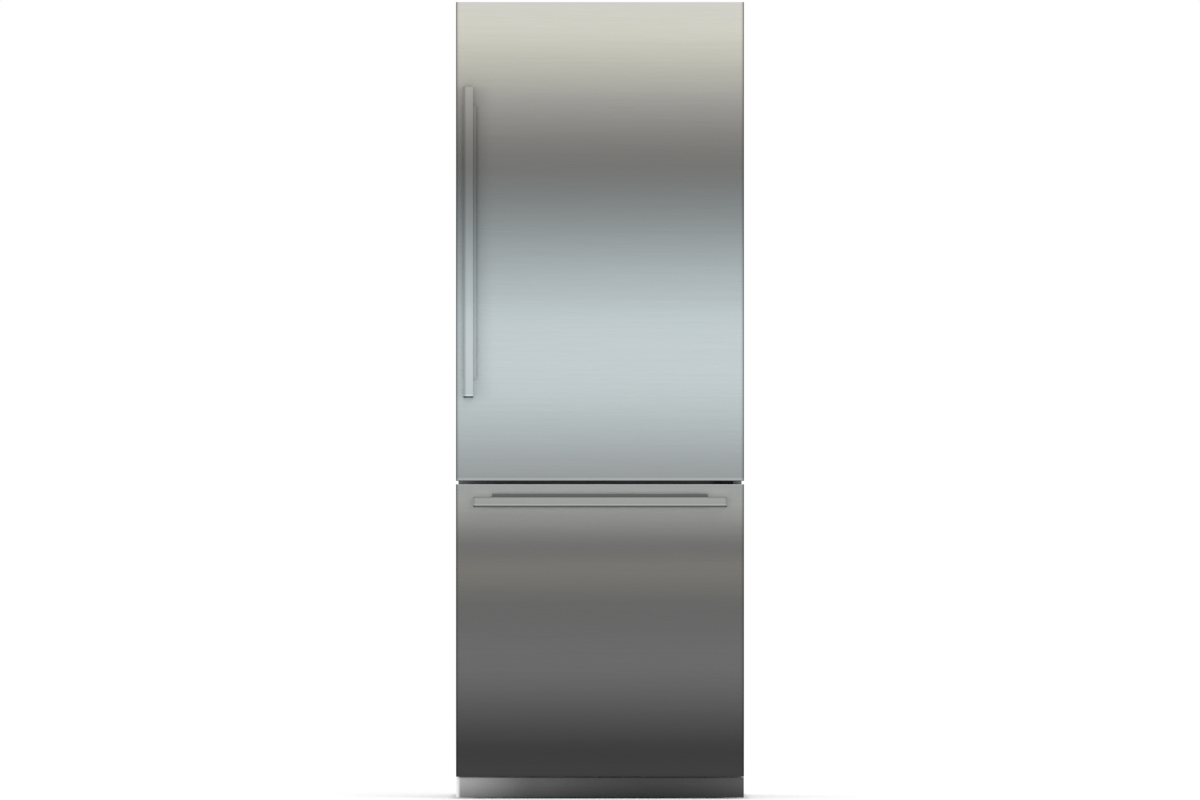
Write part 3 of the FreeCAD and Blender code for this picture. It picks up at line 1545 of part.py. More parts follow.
runner_front = cabinet_front + d.runner_setback
runner_rear = duct_front - d.runner_rear_gap
pitch_radius = d.gear_module * GEAR_TEETH / 2
rack_pitch_line = runner_level + d.runner_height / 2 + d.rack_base + d.gear_module * DEDENDUM_SHARE
shaft_level = rack_pitch_line + pitch_radius
shaft_y = duct_front - d.shaft_rear_gap


def rack_bar():
    """A rack along Y whose pitch line is z = 0 and one of whose tooth gaps is at y = 0."""
    module = float(d.gear_module)
    pitch = math.pi * module
    slope = math.tan(math.radians(PRESSURE_ANGLE))
    root = -module * DEDENDUM_SHARE
    bottom = root - float(d.rack_base)
    half_tooth = pitch / 4 - float(d.gear_backlash) / 2
    last = math.floor((float(runner_rear) - float(shaft_y)) / pitch) - 1
    first = math.ceil((float(runner_front) - float(shaft_y)) / pitch)
    points = [(float(runner_front) - float(shaft_y), bottom)]
    points.append((float(runner_front) - float(shaft_y), root))
    for tooth in range(first, last + 1):
        centre = (tooth + 1 / 2) * pitch
        points.append((centre - half_tooth + root * slope, root))
        points.append((centre - half_tooth + module * slope, module))
        points.append((centre + half_tooth - module * slope, module))
        points.append((centre + half_tooth - root * slope, root))
    points.append((float(runner_rear) - float(shaft_y), root))
    points.append((float(runner_rear) - float(shaft_y), bottom))
    outline = [Vector(0, y, z) for y, z in points]
    face = Part.Face(Part.makePolygon(outline + outline[:1]))
    return face.extrude(Vector(float(d.gear_width), 0, 0))


def involute_pinion():
    """A pinion about the X axis with a tooth pointing straight down, by involute flanks."""
    module = float(d.gear_module)
    pitch_circle = float(pitch_radius)
    pressure = math.radians(PRESSURE_ANGLE)
    base = pitch_circle * math.cos(pressure)
    tip = pitch_circle + module
    root = pitch_circle - module * DEDENDUM_SHARE
    half_tooth = math.pi / (2 * GEAR_TEETH) - float(d.gear_backlash) / (2 * pitch_circle)
    spread = math.tan(pressure) - pressure
    flank = []
    for number in range(FLANK_POINTS):
        radius = base + (tip - base) * number / (FLANK_POINTS - 1)
        roll = math.acos(min(1, base / radius))
        flank.append((radius, half_tooth + spread - (math.tan(roll) - roll)))
    flank.insert(0, (root, flank[0][1]))
    points = []
    for tooth in range(GEAR_TEETH):
        middle = -math.pi / 2 + 2 * math.pi * tooth / GEAR_TEETH
        for radius, angle in flank:
            points.append((radius, middle - angle))
        for radius, angle in reversed(flank):
            points.append((radius, middle + angle))
    outline = [Vector(0, radius * math.cos(angle), radius * math.sin(angle))
               for radius, angle in points]
    face = Part.Face(Part.makePolygon(outline + outline[:1]))
    return face.extrude(Vector(float(d.gear_width), 0, 0))


def make_runners():
    """Three nested members a side: fixed to the liner, floating, and fixed to the drawer."""
    members = []
    for nesting in range(3):
        wall_gap, half_height, depth = runner_member(nesting)
        pair = []
        for inward in (-1, 1):
            outer_wall = (inner_side - wall_gap) * -inward
            points = channel(outer_wall, half_height, depth, inward)
            outline = [Vector(x, runner_front, z) for x, z in points]
            face = Part.Face(Part.makePolygon(outline + outline[:1]))
            pair.append(face.extrude(Vector(0, float(runner_rear - runner_front), 0)))
        members.append(pair)
    fixed = []
    rack = rack_bar()
    for inward, member in zip((-1, 1), members[0]):
        outer = (inner_side - d.rack_offset) * -inward
        x_low = outer if inward > 0 else outer - d.gear_width
        toothed = member.fuse(moved(rack, x_low, shaft_y, rack_pitch_line))
        fixed.append(toothed.removeSplitter())
    add_shape("runners_fixed", Part.makeCompound(fixed))
    add_shape("runners_middle", Part.makeCompound(members[1]))
    inner = []
    for inward, member in zip((-1, 1), members[2]):
        inner.append(member.fuse(make_arm(inward)).removeSplitter())
    add_shape("runners_inner", Part.makeCompound(inner))


def make_arm(inward):
    """The drawer's side arm: a plate with a bolting foot, a shaft ear and a basket ledge."""
    wall_gap, half_height, depth = runner_member(2)
    face = (inner_side - wall_gap - depth) * -inward
    level = runner_level
    low = level - half_height
    high = low + d.arm_height
    ear_low = shaft_y - d.arm_ear_width / 2
    ear_high = shaft_y + d.arm_ear_width / 2
    ear_top = shaft_level + d.arm_ear_margin
    foot_top = low + d.front_foot_height
    slope = d.arm_height / 2
    side_points = [(body_rear, low), (ear_high, low), (ear_high, ear_top), (ear_low, ear_top),
                   (ear_low - slope, high), (body_rear + slope * 2, high),
                   (body_rear + d.arm_sheet, foot_top), (body_rear, foot_top)]
    outline = [Vector(face, y, z) for y, z in side_points]
    plate = Part.Face(Part.makePolygon(outline + outline[:1]))
    plate = plate.extrude(Vector(float(d.arm_sheet) * inward, 0, 0))
    foot_ends = sorted((face, face + (depth - d.runner_gap) * -inward), key=float)
    foot = block(foot_ends[0], foot_ends[1], body_rear, body_rear + d.arm_sheet, low, foot_top)
    ledge_ends = sorted((face, face + (d.arm_sheet + d.ledge_width) * inward), key=float)
    ledge = block(ledge_ends[0], ledge_ends[1], basket_front(), basket_rear(), low, low + d.arm_sheet)
    hole = rod(d.shaft_radius + d.running_clearance,
               Vector(-panel_side, shaft_y, shaft_level), Vector(panel_side, shaft_y, shaft_level))
    return plate.multiFuse([foot, ledge]).cut(hole)


def make_stabiliser():
    """The cross shaft that keeps the drawer square: a pinion at each end rolls on a rack."""
    reach = inner_side - d.rack_offset
    shaft = rod(d.shaft_radius, Vector(-reach, shaft_y, shaft_level), Vector(reach, shaft_y, shaft_level))
    pinion = involute_pinion()
    left = moved(pinion, -reach, shaft_y, shaft_level)
    right = moved(pinion, reach - d.gear_width, shaft_y, shaft_level)
    add_shape("stabiliser_shaft", shaft.multiFuse([left, right]).removeSplitter())


# Freezer basket and tray

def basket_front():
    return body_rear + d.drawer_dike_depth + d.basket_front_gap


def basket_rear():
    return shaft_y - d.shaft_radius - d.basket_rear_gap


def basket_side():
    wall_gap, _, depth = runner_member(2)
    return inner_side - wall_gap - depth - d.arm_sheet - d.basket_side_gap


def basket_bottom():
    _, half_height, _ = runner_member(2)
    return runner_level - half_height + d.arm_sheet


def rounded_tray(label, side, front, rear, bottom, height, wall, corner):
    body = new_body(label)
    pad(body, "Z", bottom, bottom + height, rectangle(-side, side, front, rear))
    round_edges(body, corner, lambda edge: runs_along(edge, "Z") or lies_at(edge, "Z", bottom))
    hollow(body, wall, lambda face: lies_at(face, "Z", bottom + height))
    return body


def make_freezer_basket():
    """The deep basket, with a rim that the tray slides on."""
    top = basket_bottom() + d.basket_height
    body = rounded_tray("freezer_basket", basket_side(), basket_front(), basket_rear(),
                        basket_bottom(), d.basket_height, d.basket_wall, d.basket_corner)
    inner = basket_side() - d.basket_wall / 2
    outer = basket_side() + d.basket_rim
    low = top - d.basket_rim_height
    front = basket_front() + d.basket_corner
    rear = basket_rear() - d.basket_corner
    pad(body, "Z", low, top, rectangle(-outer, -inner, front, rear), rectangle(inner, outer, front, rear))


def make_freezer_tray():
    """The shallow tray that hangs in the basket by its rim and slides back along it."""
    basket_top = basket_bottom() + d.basket_height
    side = basket_side() - d.basket_wall - d.tray_side_gap
    front = basket_front() + d.basket_wall + d.tray_front_gap
    rim_low = basket_top + d.rest_gap
    top = rim_low + d.tray_rim_height
    body = rounded_tray("freezer_tray", side, front, front + d.tray_depth, top - d.tray_height,
                        d.tray_height, d.tray_wall, d.tray_corner)
    inner = side - d.tray_wall / 2
    outer = side + d.tray_rim
    low_y = front + d.tray_corner
    high_y = front + d.tray_depth - d.tray_corner
    pad(body, "Z", rim_low, top, rectangle(-outer, -inner, low_y, high_y),
        rectangle(inner, outer, low_y, high_y))


def make_cabinet():
    make_outer_shell()
    make_rear_panel()
    make_cabinet_foam()
    make_fridge_liner()
    make_liner("freezer_liner", freezer_floor, freezer_ceiling)
    make_front_rails()
    make_base_tray()
    make_toe_kick()
    make_machine_cover()
    make_power_inlet()
    make_top_bracket()
    for label, side in (("left", -1), ("right", 1)):
        make_foot(f"foot_{label}", side)
        make_roller(f"roller_{label}", side)


def make_cooling():
    make_compressor()
    make_compressor_mounts()
    make_drip_tray()
    make_control_box()
    make_condenser()
    make_refrigerant_lines()
    make_fan_shroud()
    make_evaporators()
    plate_rear = duct_front + d.duct_sheet
    freezer_fan_level = freezer_ceiling - d.freezer_fan_drop
    fridge_fan_level = fridge_ceiling - d.fridge_fan_drop
    make_duct_cover("freezer_duct_cover", freezer_floor + d.liner_wall + d.freezer_duct_low,
                    freezer_ceiling - d.liner_wall - d.freezer_duct_top_gap,
                    freezer_fan_level, freezer_floor + d.freezer_vent_rise)
    make_duct_cover("fridge_duct_cover", fridge_floor + d.liner_wall + d.fridge_duct_low,
                    fridge_ceiling - d.liner_wall - d.fridge_duct_top_gap,
                    fridge_fan_level, fridge_floor + d.fridge_vent_rise)
    make_fan("condenser_fan", d.big_fan_radius, d.big_fan_depth, condenser_x,
             shroud_y + d.shroud_sheet, machine_floor + d.shroud_height / 2)
    make_fan("freezer_fan", d.small_fan_radius, d.small_fan_depth, ZERO, plate_rear,
             freezer_fan_level)
    make_fan("fridge_fan", d.small_fan_radius, d.small_fan_depth, ZERO, plate_rear,
             fridge_fan_level)


def make_interior():
    make_side_lights()
    make_control_panel()
    levels = shelf_levels()
    make_glass("crisper_cover", levels[0])
    for number, level in enumerate(levels[1:], start=1):
        make_glass(f"shelf_glass_{number}", level)
    make_shelf_trims()
    make_crisper("crisper_left", -1)
    make_crisper("crisper_right", 1)


def make_door():
    make_door_hinges()
    make_door_bushes()
    make_panel("door_panel", door_bottom, door_top)
    make_door_body()
    for number in range(BIN_COUNT):
        make_door_bin(f"door_bin_{number + 1}", number)


def make_drawer():
    make_panel("drawer_panel", d.drawer_bottom, drawer_top)
    make_drawer_body()
    make_runners()
    make_stabiliser()
    make_freezer_basket()
    make_freezer_tray()


def check_model():
    """Stops if a feature failed, a cut removed nothing or a sub-part has no valid shape."""
    for item in document.Objects:
        if "Invalid" in item.State or "Error" in item.State:
            owner = item.getParentGeoFeatureGroup() or item
            raise RuntimeError(f"{item.Label} of {owner.Label} failed: {item.State}")
    for cut in cuts:
        before = cut.BaseFeature.Shape.Volume
        if not cut.Shape.Volume < before:
            raise RuntimeError(f"{cut.Label} of {cut.getParentGeoFeatureGroup().Label} cuts nothing")
    for label, node in nodes.items():
        if node.Shape.isNull() or not node.Shape.isValid():
            raise RuntimeError(f"{label} has no valid shape")


make_cabinet()
make_cooling()
make_interior()
make_door()
make_drawer()
make_gaskets()
make_handles()
document.recompute()
check_model()
os.makedirs("parts", exist_ok=True)
for label, node in nodes.items():
    node.Shape.exportStep(f"parts/{label}.step")
print(len(nodes), "sub-parts written")
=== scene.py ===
"""Looks of the built-in refrigerator: materials, small fittings, studio and camera.

Everything is in metres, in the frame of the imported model: +Z up, the front faces -Y.
"""

import math
from collections import namedtuple

import bmesh
import bpy
from mathutils import Matrix, Vector


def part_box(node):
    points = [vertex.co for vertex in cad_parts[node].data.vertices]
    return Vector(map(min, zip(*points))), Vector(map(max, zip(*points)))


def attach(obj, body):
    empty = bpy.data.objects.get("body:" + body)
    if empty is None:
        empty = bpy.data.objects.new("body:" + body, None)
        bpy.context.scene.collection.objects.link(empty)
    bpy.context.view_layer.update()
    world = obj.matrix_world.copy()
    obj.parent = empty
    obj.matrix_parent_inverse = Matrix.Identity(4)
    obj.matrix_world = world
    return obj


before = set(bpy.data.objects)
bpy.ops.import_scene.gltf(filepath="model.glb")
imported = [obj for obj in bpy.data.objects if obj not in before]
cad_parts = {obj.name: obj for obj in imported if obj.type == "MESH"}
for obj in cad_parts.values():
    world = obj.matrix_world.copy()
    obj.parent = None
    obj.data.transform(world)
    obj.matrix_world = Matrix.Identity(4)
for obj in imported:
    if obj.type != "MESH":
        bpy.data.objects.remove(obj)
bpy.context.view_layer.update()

# The photograph's frame
PHOTO_WIDTH_PX = 1200
PHOTO_HEIGHT_PX = 800
PANEL_WIDTH_PX = 288
TOP_EDGE_PX = 2
LENS_MM = 600

# Sockets of Blender's colour mix node
MIX_FACTOR, MIX_A, MIX_B, MIX_RESULT = 0, 6, 7, 2

# A colour and its place in a run of colours: a height in metres, or a share of a width
Tone = namedtuple("Tone", "place colour")

# A painted shade or highlight beside an edge: its whole share up to start, and none of it from end,
# in metres
Fade = namedtuple("Fade", "start end share")

# Most of a noise texture lies between these levels
NOISE_LOW, NOISE_HIGH = 0.3, 0.7


def srgb(red, green, blue):
    """The linear colour of a screen colour given in levels from 0 to 255."""
    def linear(level):
        share = level / 255
        return share / 12.92 if share <= 0.04045 else ((share + 0.055) / 1.055) ** 2.4
    return (linear(red), linear(green), linear(blue), 1.0)


def grey(level):
    return srgb(level, level, level)


# What the studio adds to the colour of polished steel, as a share of its colour and as plain light
STUDIO_GAIN = 1.035
STUDIO_LIFT = 0.004


def steel(red, green, blue):
    """The colour that polished steel needs to show as a screen colour."""
    shown = srgb(red, green, blue)
    return tuple((channel - STUDIO_LIFT) / STUDIO_GAIN for channel in shown[:3]) + (1.0,)


# The door's painted reflection from top to bottom: a warm light, a dark band, a cool light, then
# less light lower down
DOOR_REFLECTION_TONES = [
    Tone(2.108, steel(208, 208, 200)),
    Tone(2.000, steel(200, 199, 188)),
    Tone(1.850, steel(158, 157, 152)),
    Tone(1.640, steel(120, 122, 121)),
    Tone(1.320, steel(181, 191, 193)),
    Tone(1.160, steel(195, 204, 206)),
    Tone(1.010, steel(181, 190, 191)),
    Tone(0.841, steel(151, 155, 156)),
]

# The drawer's painted reflection: a light band under its top edge, then down to the dark foot
DRAWER_REFLECTION_TONES = [
    Tone(0.832, steel(158, 161, 160)),
    Tone(0.765, steel(153, 154, 151)),
    Tone(0.680, steel(116, 116, 115)),
    Tone(0.600, steel(118, 117, 112)),
    Tone(0.520, steel(104, 104, 103)),
    Tone(0.330, steel(104, 104, 104)),
    Tone(0.160, steel(69, 69, 69)),
    Tone(0.058, steel(65, 65, 65)),
]


class Surface:
    """A material around a Principled shader, with helpers that add nodes in front of it."""

    def __init__(self, name, colour, settings):
        self.material = bpy.data.materials.new(name)
        self.material.use_nodes = True
        self.tree = self.material.node_tree
        self.shader = self.tree.nodes["Principled BSDF"]
        self.shader.inputs["Base Color"].default_value = colour
        for socket, value in settings.items():
            self.shader.inputs[socket].default_value = value
        self.position = self.add("ShaderNodeTexCoord").outputs["Object"]

    def add(self, kind, **attributes):
        node = self.tree.nodes.new(kind)
        for name, value in attributes.items():
            setattr(node, name, value)
        return node

    def connect(self, source, target):
        self.tree.links.new(source, target)

    def drive(self, socket, source):
        self.connect(source, self.shader.inputs[socket])

    def scaled(self, scale):
        """The position times a scale, axis by axis."""
        mapping = self.add("ShaderNodeMapping")
        mapping.inputs["Scale"].default_value = scale
        self.connect(self.position, mapping.inputs["Vector"])
        return mapping.outputs["Vector"]

    def noise(self, scale, detail=2.0):
        """Cloudy noise whose grains are as many to the metre as scale says, axis by axis."""
        node = self.add("ShaderNodeTexNoise")
        node.inputs["Scale"].default_value = 1.0
        node.inputs["Detail"].default_value = detail
        self.connect(self.scaled(scale), node.inputs["Vector"])
        return node.outputs["Fac"]

    def cells(self, scale):
        """Closed cells, as many to the metre as scale says."""
        node = self.add("ShaderNodeTexVoronoi")
        node.inputs["Scale"].default_value = 1.0
        self.connect(self.scaled(scale), node.inputs["Vector"])
        return node

    def axis(self, name):
        """The position along X, Y or Z in metres."""
        split = self.add("ShaderNodeSeparateXYZ")
        self.connect(self.position, split.inputs["Vector"])
        return split.outputs[name]

    def math(self, operation, *terms):
        """One operation on sockets or plain numbers."""
        node = self.add("ShaderNodeMath", operation=operation)
        for socket, term in zip(node.inputs, terms):
            if isinstance(term, (int, float)):
                socket.default_value = term
            else:
                self.connect(term, socket)
        return node.outputs["Value"]

    def stretch(self, value, low, high, to_low=0.0, to_high=1.0, smooth=False):
        """Maps a value from one range to another and keeps it inside."""
        node = self.add("ShaderNodeMapRange")
        node.interpolation_type = "SMOOTHSTEP" if smooth else "LINEAR"
        self.connect(value, node.inputs["Value"])
        for socket, number in (("From Min", low), ("From Max", high), ("To Min", to_low),
                               ("To Max", to_high)):
            node.inputs[socket].default_value = number
        return node.outputs["Result"]

    def vary(self, noise, low, high):
        """Maps noise to a range."""
        return self.stretch(noise, NOISE_LOW, NOISE_HIGH, low, high)

    def from_edge(self, value, edge, fade):
        """A fade's share beside a low edge, and one beyond it."""
        return self.stretch(value, edge + fade.start, edge + fade.end, fade.share, 1.0,
                            smooth=True)

    def to_edge(self, value, edge, fade):
        """One, and a fade's share beside a high edge."""
        return self.stretch(value, edge - fade.end, edge - fade.start, 1.0, fade.share,
                            smooth=True)

    def product(self, first, *others):
        """All the values multiplied."""
        for other in others:
            first = self.math("MULTIPLY", first, other)
        return first

    def mix(self, factor, first, second, kind="MIX"):
        """Two colours, blended by a factor."""
        node = self.add("ShaderNodeMix", data_type="RGBA", blend_type=kind)
        for index, term in ((MIX_FACTOR, factor), (MIX_A, first), (MIX_B, second)):
            if isinstance(term, (int, float, tuple)):
                node.inputs[index].default_value = term
            else:
                self.connect(term, node.inputs[index])
        return node.outputs[MIX_RESULT]

    def shade(self, colour, share):
        """The colour times a grey share that a value socket gives."""
        grey_share = self.add("ShaderNodeCombineColor")
        for channel in ("Red", "Green", "Blue"):
            self.connect(share, grey_share.inputs[channel])
        return self.mix(1.0, colour, grey_share.outputs["Color"], "MULTIPLY")

    def ramp(self, value, tones):
        """A smooth run of tones over their places."""
        ordered = sorted(tones, key=lambda tone: tone.place)
        low, high = ordered[0].place, ordered[-1].place
        node = self.add("ShaderNodeValToRGB")
        node.color_ramp.interpolation = "CARDINAL"
        stops = node.color_ramp.elements
        for tone, stop in zip((ordered[0], ordered[-1]), stops):
            stop.color = tone.colour
        for tone in ordered[1:-1]:
            stops.new((tone.place - low) / (high - low)).color = tone.colour
        self.connect(self.stretch(value, low, high), node.inputs["Fac"])
        return node.outputs["Color"]

    def bump(self, height, depth, strength):
        node = self.add("ShaderNodeBump")
        node.inputs["Strength"].default_value = strength
        node.inputs["Distance"].default_value = depth
        self.connect(height, node.inputs["Height"])
        self.drive("Normal", node.outputs["Normal"])


# Steel

POLISHED = 0.9
GRAIN_FINE = 2600
GRAIN_LENGTH = 9
STREAK_FINE = 160
STREAK_LENGTH = 1.3
SCRATCH_DEPTH = 0.00004

# Painted shades and painted highlights beside the edges of the panels and the handle bars
PANEL_SIDE_SHADE = Fade(0.0045, 0.0095, 0.88)
PANEL_FOLD_SHADE = Fade(0.0016, 0.0048, 0.30)
DOOR_LIP_HIGHLIGHT = Fade(0.0055, 0.0090, 1.30)
DRAWER_LIP_SHADE = Fade(0.0055, 0.0090, 0.95)
DOOR_GAP_SHADE = Fade(0.0006, 0.0022, 0.25)
DRAWER_GAP_HIGHLIGHT = Fade(0.0010, 0.0028, 1.5)
UPRIGHT_BAR_EDGE_SHADE = Fade(0.0015, 0.0090, 0.60)
LEVEL_BAR_EDGE_SHADE = Fade(0.0034, 0.0060, 0.22)
BAR_HIGHLIGHT_LINE = Fade(0.0060, 0.0090, 1.36)
BAR_FOOT_SHADE = Fade(0.0032, 0.0056, 0.10)
BAR_RIM_SHADE = Fade(0.0010, 0.0030, 0.75)
BAR_END_SHADE = Fade(0.0035, 0.0055, 0.80)

# The toe kick's painted reflection from its left to its right end, with places as shares of its
# width
KICK_REFLECTION_TONES = [
    Tone(0.00, grey(161)),
    Tone(0.20, grey(108)),
    Tone(0.36, grey(85)),
    Tone(0.60, grey(70)),
    Tone(0.85, grey(72)),
    Tone(1.00, grey(82)),
]
# A painted highlight at the kick's left edge, and the band under its top that keeps the painted
# light of the top
KICK_EDGE_HIGHLIGHT = grey(246)
KICK_TOP_BAND = 0.008


def along_x(fine, coarse):
    """Grains to the metre for marks that run along X."""
    return (coarse, fine, fine)


def along_z(fine, coarse):
    """Grains to the metre for marks that run along Z."""
    return (fine, fine, coarse)


def brushed(surface, colour, run):
    """Adds brush marks that run one way: fine scratches, faint streaks, uneven gloss."""
    scratches = surface.noise(run(GRAIN_FINE, GRAIN_LENGTH), detail=3.0)
    streaks = surface.noise(run(STREAK_FINE, STREAK_LENGTH), detail=4.0)
    marks = surface.product(surface.vary(scratches, 0.965, 1.035),
                            surface.stretch(streaks, 0.35, 0.65, 0.985, 1.015))
    surface.drive("Base Color", surface.shade(colour, marks))
    surface.drive("Roughness", surface.vary(scratches, 0.26, 0.36))
    surface.bump(scratches, SCRATCH_DEPTH, strength=0.35)


def door_bar_shade(surface):
    """How much painted shade the panel takes beside the upright bar, standing in for its reflection
    of the bar's dark side.
    """
    low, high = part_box("door_handle")
    width, fade = 0.060, 0.020
    darkest, under_bar = 0.14, 0.5
    across = surface.axis("X")
    height = surface.axis("Z")
    beside = surface.stretch(across, high.x, high.x + width, darkest, 0.0, smooth=True)
    halved = surface.stretch(across, low.x, high.x, under_bar, 1.0)
    above = surface.stretch(height, low.z - fade, low.z + fade, smooth=True)
    below = surface.stretch(height, high.z - fade, high.z + fade, 1.0, 0.0, smooth=True)
    return surface.math("SUBTRACT", 1.0, surface.product(beside, halved, above, below))


def drawer_bar_painted_light(surface):
    """How much painted light the panel takes above and below the level bar, standing in for its
    reflection of the bar's bright face.
    """
    low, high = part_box("drawer_handle")
    grip_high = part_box("drawer_grip")[1]
    width, fade = 0.024, 0.010
    brightest = 0.13
    middle = (low.z + grip_high.z) / 2
    half = grip_high.z - middle
    away = surface.math("ABSOLUTE", surface.math("SUBTRACT", surface.axis("Z"), middle))
    across = surface.math("ABSOLUTE", surface.axis("X"))
    near = surface.stretch(away, half, half + width, brightest, 0.0, smooth=True)
    inside = surface.stretch(across, high.x - fade, high.x + fade, 1.0, 0.0, smooth=True)
    return surface.math("ADD", 1.0, surface.product(near, inside))


def door_gap_painted_shade(surface):
    """Painted shade along the door's lower edge, where it turns into the gap."""
    low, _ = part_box("door_panel")
    return surface.from_edge(surface.axis("Z"), low.z, DOOR_GAP_SHADE)


def drawer_gap_painted_highlight(surface):
    """A painted highlight along the drawer's upper edge, below the gap."""
    _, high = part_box("drawer_panel")
    return surface.to_edge(surface.axis("Z"), high.z, DRAWER_GAP_HIGHLIGHT)


def panel_steel(name, tones, node, painted_lip, marks):
    """A panel's steel: a painted reflection in tones of height, painted shade beside its sides and
    where it folds back, and a painted lip at its foot.
    """
    low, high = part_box(node)
    surface = Surface(name, grey(150), {"Metallic": POLISHED})
    colour = surface.ramp(surface.axis("Z"), tones)
    across = surface.math("ABSOLUTE", surface.axis("X"))
    shades = [surface.to_edge(across, high.x, PANEL_SIDE_SHADE),
              surface.to_edge(across, high.x, PANEL_FOLD_SHADE),
              surface.from_edge(surface.axis("Z"), low.z, painted_lip)]
    # The marks add painted shade and painted light near the handle bars and along the gap
    shades += [mark(surface) for mark in marks]
    brushed(surface, surface.shade(colour, surface.product(*shades)), along_x)
    return surface.material


def bar_steel(name, tones, node, run, dark_axis, edge):
    """A handle bar's steel in its panel's painted reflection: painted shade at its left or lower
    edge, with a painted highlight line above its foot.
    """
    low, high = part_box(node)
    surface = Surface(name, grey(150), {"Metallic": POLISHED})
    height = surface.axis("Z")
    colour = surface.ramp(height, tones)
    begin = low.x if dark_axis == "X" else low.z
    shades = [surface.from_edge(surface.axis(dark_axis), begin, edge),
              surface.from_edge(height, low.z, BAR_HIGHLIGHT_LINE)]
    # Painted shade at the upright bar's foot; on the level bar, painted shade on its top rim beyond
    # the grip and at its ends
    if dark_axis == "X":
        shades.append(surface.from_edge(height, low.z, BAR_FOOT_SHADE))
    else:
        across = surface.math("ABSOLUTE", surface.axis("X"))
        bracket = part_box("drawer_grip")[1].x
        fade = 0.002
        rim = surface.to_edge(height, high.z, BAR_RIM_SHADE)
        between = surface.stretch(across, bracket, bracket + fade, 1.0, 0.0)
        shades.append(surface.math("MAXIMUM", rim, between))
        shades.append(surface.to_edge(across, high.x, BAR_END_SHADE))
    brushed(surface, surface.shade(colour, surface.product(*shades)), run)
    return surface.material


def grip_metal(name, tones, share, run):
    """The liner behind a bar: the panel's painted reflection, darkened by a share of painted shade.
    """
    surface = Surface(name, grey(90), {"Metallic": 0.85})
    colour = surface.ramp(surface.axis("Z"), tones)
    brushed(surface, surface.mix(1.0, colour, (share, share, share, 1.0), "MULTIPLY"), run)
    return surface.material


def kick_steel(name, node):
    """The toe kick's steel: a painted highlight at its left edge, a painted reflection darkening
    towards the middle, and painted shade towards the floor.
    """
    low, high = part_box(node)
    # Shares of the painted shade at the floor and of the painted light under the top
    foot, top = 0.66, 1.24
    highlight_start, highlight_end = low.x - 0.0005, low.x + 0.0080
    face_start, face_end = low.y + 0.002, low.y + 0.004
    surface = Surface(name, grey(80), {"Metallic": POLISHED})
    across = surface.axis("X")
    colour = surface.ramp(surface.stretch(across, low.x, high.x), KICK_REFLECTION_TONES)
    floor_shade = surface.stretch(surface.axis("Z"), low.z, high.z - KICK_TOP_BAND, foot, top)
    edge = surface.stretch(across, highlight_start, highlight_end, 1.0, 0.0, smooth=True)
    front = surface.stretch(surface.axis("Y"), face_start, face_end, 1.0, 0.0)
    edge_highlight = surface.product(edge, front)
    brushed(surface, surface.mix(edge_highlight, surface.shade(colour, floor_shade), KICK_EDGE_HIGHLIGHT), along_x)
    return surface.material


# Sheet metals, plating and tubes

GRAPHITE = srgb(112, 114, 116)
PAINT_EDGE = 0.0002


def coated_sheet(name, colour, metallic, spangle=0.05, roughness=0.42, painted_to=None):
    """Coated sheet with the faint crystals of galvanising, and paint in front of painted_to."""
    surface = Surface(name, colour, {"Metallic": metallic})
    if painted_to is not None:
        paint = surface.stretch(surface.axis("Y"), painted_to - PAINT_EDGE, painted_to, 1.0, 0.0)
        colour = surface.mix(paint, colour, GRAPHITE)
        surface.drive("Metallic", surface.stretch(paint, 0.0, 1.0, metallic, 0.0))
    crystals = surface.cells((95, 95, 60))
    share = surface.stretch(crystals.outputs["Color"], 0.0, 1.0, 1.0 - spangle, 1.0 + spangle)
    dust = surface.noise((3, 3, 2), detail=3.0)
    share = surface.product(share, surface.vary(dust, 0.97, 1.03))
    surface.drive("Base Color", surface.shade(colour, share))
    surface.drive("Roughness", surface.vary(dust, roughness - 0.06, roughness + 0.06))
    surface.bump(surface.noise((220, 220, 220)), depth=0.0001, strength=0.12)
    return surface.material


def plated(name, colour):
    """Zinc plating: a cool shine with faint clouds and handling marks."""
    surface = Surface(name, colour, {"Metallic": 1.0})
    clouds = surface.noise((38, 38, 38), detail=4.0)
    surface.drive("Base Color", surface.shade(colour, surface.vary(clouds, 0.88, 1.08)))
    surface.drive("Roughness", surface.vary(clouds, 0.24, 0.42))
    surface.bump(surface.noise((900, 900, 900)), depth=0.00003, strength=0.2)
    return surface.material


def satin_metal(name, colour, run, roughness=0.3):
    """Satin aluminium with a fine grain that runs one way."""
    surface = Surface(name, colour, {"Metallic": 1.0})
    grain = surface.noise(run(1800, 14), detail=3.0)
    surface.drive("Base Color", surface.shade(colour, surface.vary(grain, 0.95, 1.05)))
    surface.drive("Roughness", surface.vary(grain, roughness - 0.05, roughness + 0.08))
    surface.bump(grain, depth=0.00003, strength=0.3)
    return surface.material


def copper_tube(name):
    """Drawn copper with darker brazed and handled patches."""
    surface = Surface(name, srgb(196, 118, 82), {"Metallic": 1.0})
    patches = surface.noise((14, 14, 14), detail=5.0)
    bright, handled = srgb(204, 126, 88), srgb(120, 62, 44)
    colour = surface.mix(surface.stretch(patches, 0.42, 0.68), bright, handled)
    surface.drive("Base Color", colour)
    surface.drive("Roughness", surface.stretch(patches, 0.4, 0.7, 0.22, 0.5))
    surface.bump(surface.noise((600, 600, 600)), depth=0.00003, strength=0.2)
    return surface.material


# Plastics, rubber, foam and glass

